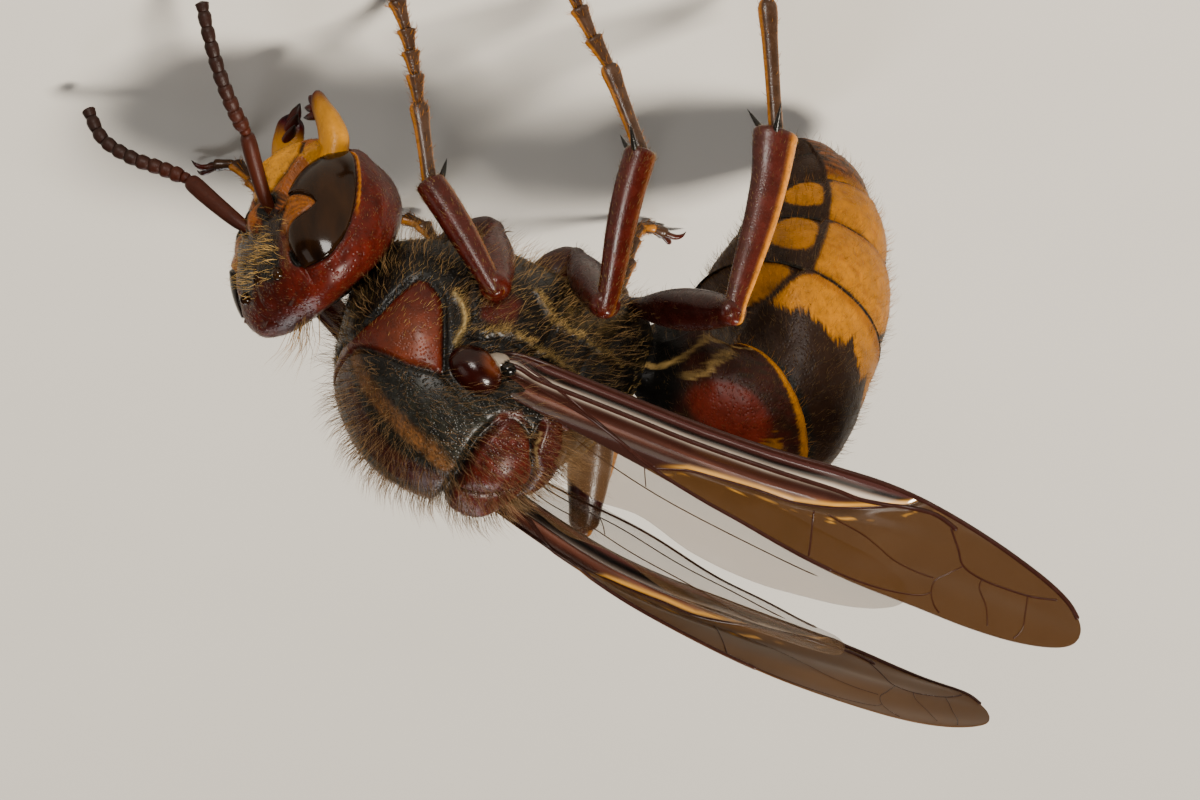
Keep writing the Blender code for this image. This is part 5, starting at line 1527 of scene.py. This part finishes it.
for side, word in ((1, "left"), (-1, "right")):
    shell = painted_bmesh()
    lean = (Matrix.Translation((SHELL_SPOT[0], side * SHELL_SPOT[1], SHELL_SPOT[2]))
            @ Matrix.Rotation(math.radians(39), 4, "Y")
            @ Matrix.Rotation(math.radians(side * -28), 4, "X") @ Matrix.Diagonal((0.85, 0.62, 0.66, 1)))
    bmesh.ops.create_uvsphere(shell, u_segments=48, v_segments=32, radius=1, matrix=lean)
    for centre, radii in BEADS:
        place = Matrix.Translation((centre[0], side * centre[1], centre[2])) @ Matrix.Diagonal((*radii, 1))
        bmesh.ops.create_uvsphere(shell, u_segments=24, v_segments=16, radius=1, matrix=place)
    layer = shell.verts.layers.float_color["markings"]
    for vert in shell.verts:
        if near_to(vert, BEADS[0][0], side) < 0.26:
            colour = BLACK
        elif near_to(vert, BEADS[1][0], side) < 0.4:
            colour = HINGE_PALE
        else:
            rust = float(fade(near_to(vert, RUST_SPOT, side), 0.15, 0.55))
            colour = SHELL_RED + (ORANGE_BROWN * 0.6 - SHELL_RED) * rust
        vert[layer] = (*colour, 1)
    show(shell, "wing_shell_" + word, [TEGULA_MATERIAL], ("tegula_" + word,))

# %% [markdown]
# Hair gives the thorax its soft halo. Each hair is a thin three-sided spike with a slight bend, made for
# thousands of roots at once. Blender has hair curves too, but plain triangles can be exported and printed.
# Roots are drawn at random over the skin, as dense as a mask says, and hair lies the way the real coat does.
# The map called OFBake gives each hair a small patch at its root's place.

# %% Hair makers
def scatter(skin, count, dense, seed, grid=220):
    """Random (u, v) roots over a skin, even over its area and as dense as the mask says."""
    draw = np.random.default_rng(seed)
    u, v = np.meshgrid((np.arange(grid) + 0.5) / grid, (np.arange(grid) + 0.5) / grid * 2 * math.pi, indexing="ij")
    u, v = u.ravel(), v.ravel()
    step = 0.4 / grid
    along = skin.outline(np.clip(u + step, 0, 1), v) - skin.outline(np.clip(u - step, 0, 1), v)
    around = skin.outline(u, v + step) - skin.outline(u, v - step)
    weight = np.linalg.norm(np.cross(along, around), axis=1) * np.clip(dense(skin.outline(u, v), u, v), 0, None)
    picked = draw.choice(len(u), size=count, p=weight / weight.sum())
    u = np.clip(u[picked] + draw.uniform(-0.5, 0.5, count) / grid, 0.001, 0.999)
    return u, v[picked] + draw.uniform(-0.5, 0.5, count) / grid * 2 * math.pi, draw


HAIR_CORNERS = 7       # three at the root, three halfway and the tip
HAIR_TRIANGLES = np.array([(0, 2, 1), (0, 1, 4), (0, 4, 3), (1, 2, 5), (1, 5, 4), (2, 0, 3), (2, 3, 5), (3, 4, 6),
                           (4, 5, 6), (5, 3, 6)])
HAIR_PATCH = np.array([(0, 0), (1, 0), (2, 0), (0, 1), (1, 1), (2, 1), (1, 2)]) * 0.0012     # on the map
ROOT_DEPTH = 0.02      # how far a root is set into the skin, mm


def hair_mesh(name, roots, ways, lengths, width, colours, patches, bends):
    """One mesh of many bent three-sided spikes, each closed, each with its own patch of the map."""
    count = len(roots)
    ways = unit(ways)
    side = unit(np.cross(ways, bends))
    over = np.cross(side, ways)
    angles = np.arange(3) * 2 * math.pi / 3
    ring = np.cos(angles)[None, :, None] * side[:, None] + np.sin(angles)[None, :, None] * over[:, None]
    middle = roots + ways * (lengths * 0.5)[:, None]
    tip = roots + unit(ways + bends * 0.25) * lengths[:, None]
    low = roots[:, None] - ways[:, None] * ROOT_DEPTH + ring * width
    high = middle[:, None] + ring * (width * 0.7)
    spots = np.concatenate([low, high, tip[:, None]], axis=1).reshape(-1, 3)
    corners = (HAIR_TRIANGLES[None] + np.arange(count)[:, None, None] * HAIR_CORNERS).reshape(-1)
    mesh = bpy.data.meshes.new(name)
    mesh.vertices.add(count * HAIR_CORNERS)
    mesh.vertices.foreach_set("co", to_world(spots).ravel())
    mesh.loops.add(len(corners))
    mesh.loops.foreach_set("vertex_index", corners)
    mesh.polygons.add(len(corners) // 3)
    mesh.polygons.foreach_set("loop_start", np.arange(0, len(corners), 3))
    mesh.update(calc_edges=True)
    mesh.validate()
    shades = np.repeat(np.concatenate([colours, np.ones((count, 1))], 1), HAIR_CORNERS, axis=0)
    mesh.attributes.new("markings", "FLOAT_COLOR", "POINT").data.foreach_set("color", shades.ravel())
    places = (patches[:, None] + HAIR_PATCH[None]).reshape(-1, 2)[corners]
    mesh.uv_layers.new(name="OFBake").data.foreach_set("uv", places.ravel())
    add_piece(name, mesh, [HAIR_MATERIAL])


def coat(name, skin, count, dense, lie, stand, length, width, colour, seed):
    """Hair over a skin. Lie is the way it lies, stand its share of standing out, from 0 to 1."""
    u, v, draw = scatter(skin, count, dense, seed)
    roots = skin.at(u, v)
    near = skin.local(u, v)
    out = unit(skin.place(near + skin.facing(u, v)) - skin.place(near))
    lying = unit(np.broadcast_to(np.asarray(lie, float), out.shape) + draw.normal(0, 0.25, out.shape))
    lying = unit(lying - out * np.sum(lying * out, 1)[:, None])
    ways = out * stand + lying * (1 - stand) + draw.normal(0, 0.12, out.shape)
    reach = length * draw.uniform(0.6, 1.15, count)
    shade = colour(near, u, v) if callable(colour) else np.tile(colour, (count, 1))
    shade = shade * draw.uniform(0.6, 1.3, (count, 1))
    patches = np.stack([u * 0.99, (v / (2 * math.pi)) % 1 * 0.99], 1)
    hair_mesh(name, roots, ways, reach, width, np.clip(shade, 0, 1), patches, lying)


TAWNY = np.array((0.24, 0.135, 0.048))
DARK_HAIR = np.array((0.05, 0.028, 0.015))
print("triangles in one hair:", len(HAIR_TRIANGLES))

# %% [markdown]
# The long thorax hair stands out all round it, brown on the back and tawny at the lower edge. A shorter,
# flatter coat gives the flanks their golden down.

# %% Thorax hair
def plates_bare(spots):
    """Hardly any hair on the polished collar."""
    return 1 - 0.96 * inside(folded(spots)[:, [0, 2]], COLLAR, 0.2)


def thorax_long(spots, u, v):
    return plates_bare(spots) * (0.4 + 0.6 * smooth(spots[:, 2], 3.0, 5.0)) * smooth(spots[:, 0], 0.3, 1.0)


def thorax_down(spots, u, v):
    return plates_bare(spots) * (0.5 + 0.5 * fade(spots[:, 2], 2.5, 4.0)) * smooth(spots[:, 0], 0.2, 0.8)


def flank_gold(spots, u, v):
    half = folded(spots)
    near = np.zeros(len(spots))
    for _, _, line in RIDGES:
        near = np.maximum(near, fade(distance_to(half, line), 0.04, 0.22))
    return (near + 0.06) * (spots[:, 2] < 3.2) * (0.3 + smooth(waves(spots, 0.5, 61), -0.5, 0.8))


def thorax_hair_colour(spots, u, v):
    low = fade(spots[:, 2], -0.5, 3.5)
    return mix(np.tile(DARK_HAIR * 1.6, (len(u), 1)), TAWNY, 0.35 + 0.5 * low)


def thorax_down_colour(spots, u, v):
    return mix(THORAX.paint(u, v) * 1.3, TAWNY * 0.5, np.full(len(u), 0.5))


coat("thorax_long_hair", THORAX, 4200, thorax_long, (-1, 0, 0.1), 0.85, 0.95, 0.0065, thorax_hair_colour,
     21)
coat("thorax_down", THORAX, 9000, thorax_down, (-0.8, 0, -0.5), 0.4, 0.22, 0.0055, thorax_down_colour,
     22)
coat("flank_gold", THORAX, 4800, flank_gold, (-0.8, 0, -0.6), 0.3, 0.2, 0.005, GOLD_DOWN * 0.9,
     23)

# %% [markdown]
# The head is nearly bald. Short golden bristles stand between the eyes, a sparse tuft of long hairs behind the
# crown, and a very short down lies all over it outside the eyes.

# %% Head hair
BRISTLE_GOLD = np.array((0.42, 0.25, 0.07))


def crown_hair(spots, u, v):
    half = folded(spots)
    return bell(away_from(half, (1.45, 0.5, 1.45)), 0.62) * (eye_depth(half) < -0.1)


def crown_tuft(spots, u, v):
    return bell(away_from(folded(spots), (-0.55, 0.25, 2.55)), 0.3)


def head_down(spots, u, v):
    half = folded(spots)
    return np.where(eye_depth(half) > -0.12, 0.0, 1.0) * (0.4 + smooth(spots[:, 0], 0.6, 1.2))


coat("crown_hair", HEAD, 220, crown_hair, (0.9, 0, 0.1), 0.9, 0.52, 0.0062, BRISTLE_GOLD, 31)
coat("crown_tuft", HEAD, 40, crown_tuft, (0.8, 0.2, 0.3), 0.72, 1.7, 0.009, TAWNY, 33)
coat("head_down", HEAD, 4200, head_down, (0.2, 0, -0.5), 0.4, 0.09, 0.0045, TAWNY * 0.6, 32)

# %% [markdown]
# On the abdomen a thin fringe of longer hairs stands over a flat down. Both take most of their colour from the
# skin under them, so the bands keep their edges.

# %% Abdomen hair
def abdomen_everywhere(spots, u, v):
    return smooth(u * RINGS, 0.06, 0.3) * (1 - 0.4 * smooth(u * RINGS, 4.0, 6.0))


def abdomen_hair_colour(spots, u, v):
    return mix(ABDOMEN.paint(u, v) * 1.2, TAWNY * 0.8, np.full(len(u), 0.35))


def abdomen_down_colour(spots, u, v):
    return mix(ABDOMEN.paint(u, v) * 1.2, GOLD_DOWN, np.full(len(u), 0.28))


coat("abdomen_hair", ABDOMEN, 3300, abdomen_everywhere, (-0.4, 0, -1), 0.6, 0.45, 0.0055, abdomen_hair_colour,
     41)
coat("abdomen_down", ABDOMEN, 9000, abdomen_everywhere, (-0.4, 0, -1), 0.3, 0.12, 0.004, abdomen_down_colour,
     42)

# %% [markdown]
# The legs remember the shapes of their parts, so hair can be rooted on them in the same way. All thighs share
# one piece, and so do all shins and all feet. Leg hair points to the tip of its part.

# %% Leg hair
def limb_coat(name, limbs, each, stand, length, width, colour, seed):
    """Hair over many limbs at once, with the same number of hairs on each."""
    draw = np.random.default_rng(seed)
    parts = []
    for number, shape in enumerate(limbs):
        u, v = draw.uniform(0.12, 0.93, each), draw.uniform(0, 2 * math.pi, each)
        roots = shape(u, v)
        along = unit(shape(u + 0.01, v) - shape(u - 0.01, v))
        out = unit(roots - (roots + shape(u, v + math.pi)) / 2)
        way = out * stand + along * (1 - stand) + draw.normal(0, 0.1, out.shape)
        patch = np.stack([(number + v / 7) / len(limbs), u * 0.99], 1)
        parts.append((roots, way, length * draw.uniform(0.6, 1.2, each), along, patch))
    roots, ways, lengths, lying, patches = (np.concatenate(group) for group in zip(*parts))
    shades = colour * draw.uniform(0.6, 1.3, (len(roots), 1))
    hair_mesh(name, roots, ways, lengths, width, shades, patches, lying)


limb_coat("femur_hair", HAIRY_LEGS["femur"], 160, 0.7, 0.35, 0.005, TAWNY * 0.4, 51)
limb_coat("tibia_hair", HAIRY_LEGS["tibia"], 520, 0.4, 0.15, 0.004, GOLD_DOWN * 0.5, 52)
limb_coat("foot_hair", HAIRY_LEGS["foot"], 60, 0.5, 0.2, 0.009, ORANGE_EDGE * 0.6, 53)

# %% [markdown]
# The floor is plain and pale, with a faint cloudiness so that it doesn't look like paper. It is stage, not
# part of the animal, and stays out of every size and export.

# %% Floor
FLOOR_SIZE = 4.0     # metres


def floor_material():
    material, tree, shader = new_material("pale_floor")
    shader.inputs["Roughness"].default_value = 0.85
    place = tree.nodes.new("ShaderNodeTexCoord").outputs["Object"]
    noise_colours(tree, shader, place, (0.0, (0.44, 0.415, 0.375)), (1.0, (0.49, 0.465, 0.425)),
                  Scale=60.0, Detail=4.0)
    return material


floor_net = bmesh.new()
bmesh.ops.create_grid(floor_net, x_segments=8, y_segments=8, size=FLOOR_SIZE / 2)
floor_mesh = bpy.data.meshes.new("floor")
floor_net.to_mesh(floor_mesh)
floor_net.free()
floor_mesh.materials.append(floor_material())
floor = bpy.data.objects.new("floor", floor_mesh)
bpy.context.scene.collection.objects.link(floor)
print("floor faces:", len(floor_mesh.polygons))

# %% [markdown]
# Soft studio light: one warm lamp above and to the left of the standing animal, a small one beside the camera
# for the glint in the eye, a weak one from the right and a rim lamp from behind. The animal is tiny, so
# lamps of a few watts stand a hand's width or two away. A dim sky lifts the shadows.

# %% Light
LAMPS = (   # name, place by the picture's right, up and towards the camera, distance, size, watts, colour
    ("key_lamp", (-0.5, 0.62, 0.55), 0.3, 0.08, 2.5, (1.0, 0.93, 0.82)),
    ("eye_lamp", (0.05, -0.28, 0.70), 0.2, 0.05, 0.4, (1.0, 0.95, 0.88)),
    ("fill_lamp", (0.8, 0.25, 0.6), 0.4, 0.2, 0.3, (1.0, 0.93, 0.85)),
    ("rim_lamp", (0.1, 0.9, -0.5), 0.35, 0.12, 0.45, (1.0, 1.0, 1.0)),
)
for name, (right, up, towards), distance, size, watts, colour in LAMPS:
    way = (PICTURE_RIGHT * right + PICTURE_UP * up + TOWARDS_CAMERA * towards).normalized()
    lamp = bpy.data.lights.new(name, "AREA")
    lamp.size = size
    lamp.energy = watts
    lamp.color = colour
    light = bpy.data.objects.new(name, lamp)
    light.location = aim + way * distance
    light.rotation_mode = "QUATERNION"
    light.rotation_quaternion = way.to_track_quat("Z", "Y")
    bpy.context.scene.collection.objects.link(light)

world = bpy.data.worlds.new("studio")
world.use_nodes = True
sky = world.node_tree.nodes["Background"]
sky.inputs["Color"].default_value = (0.75, 0.73, 0.70, 1)
sky.inputs["Strength"].default_value = 0.12
bpy.context.scene.world = world
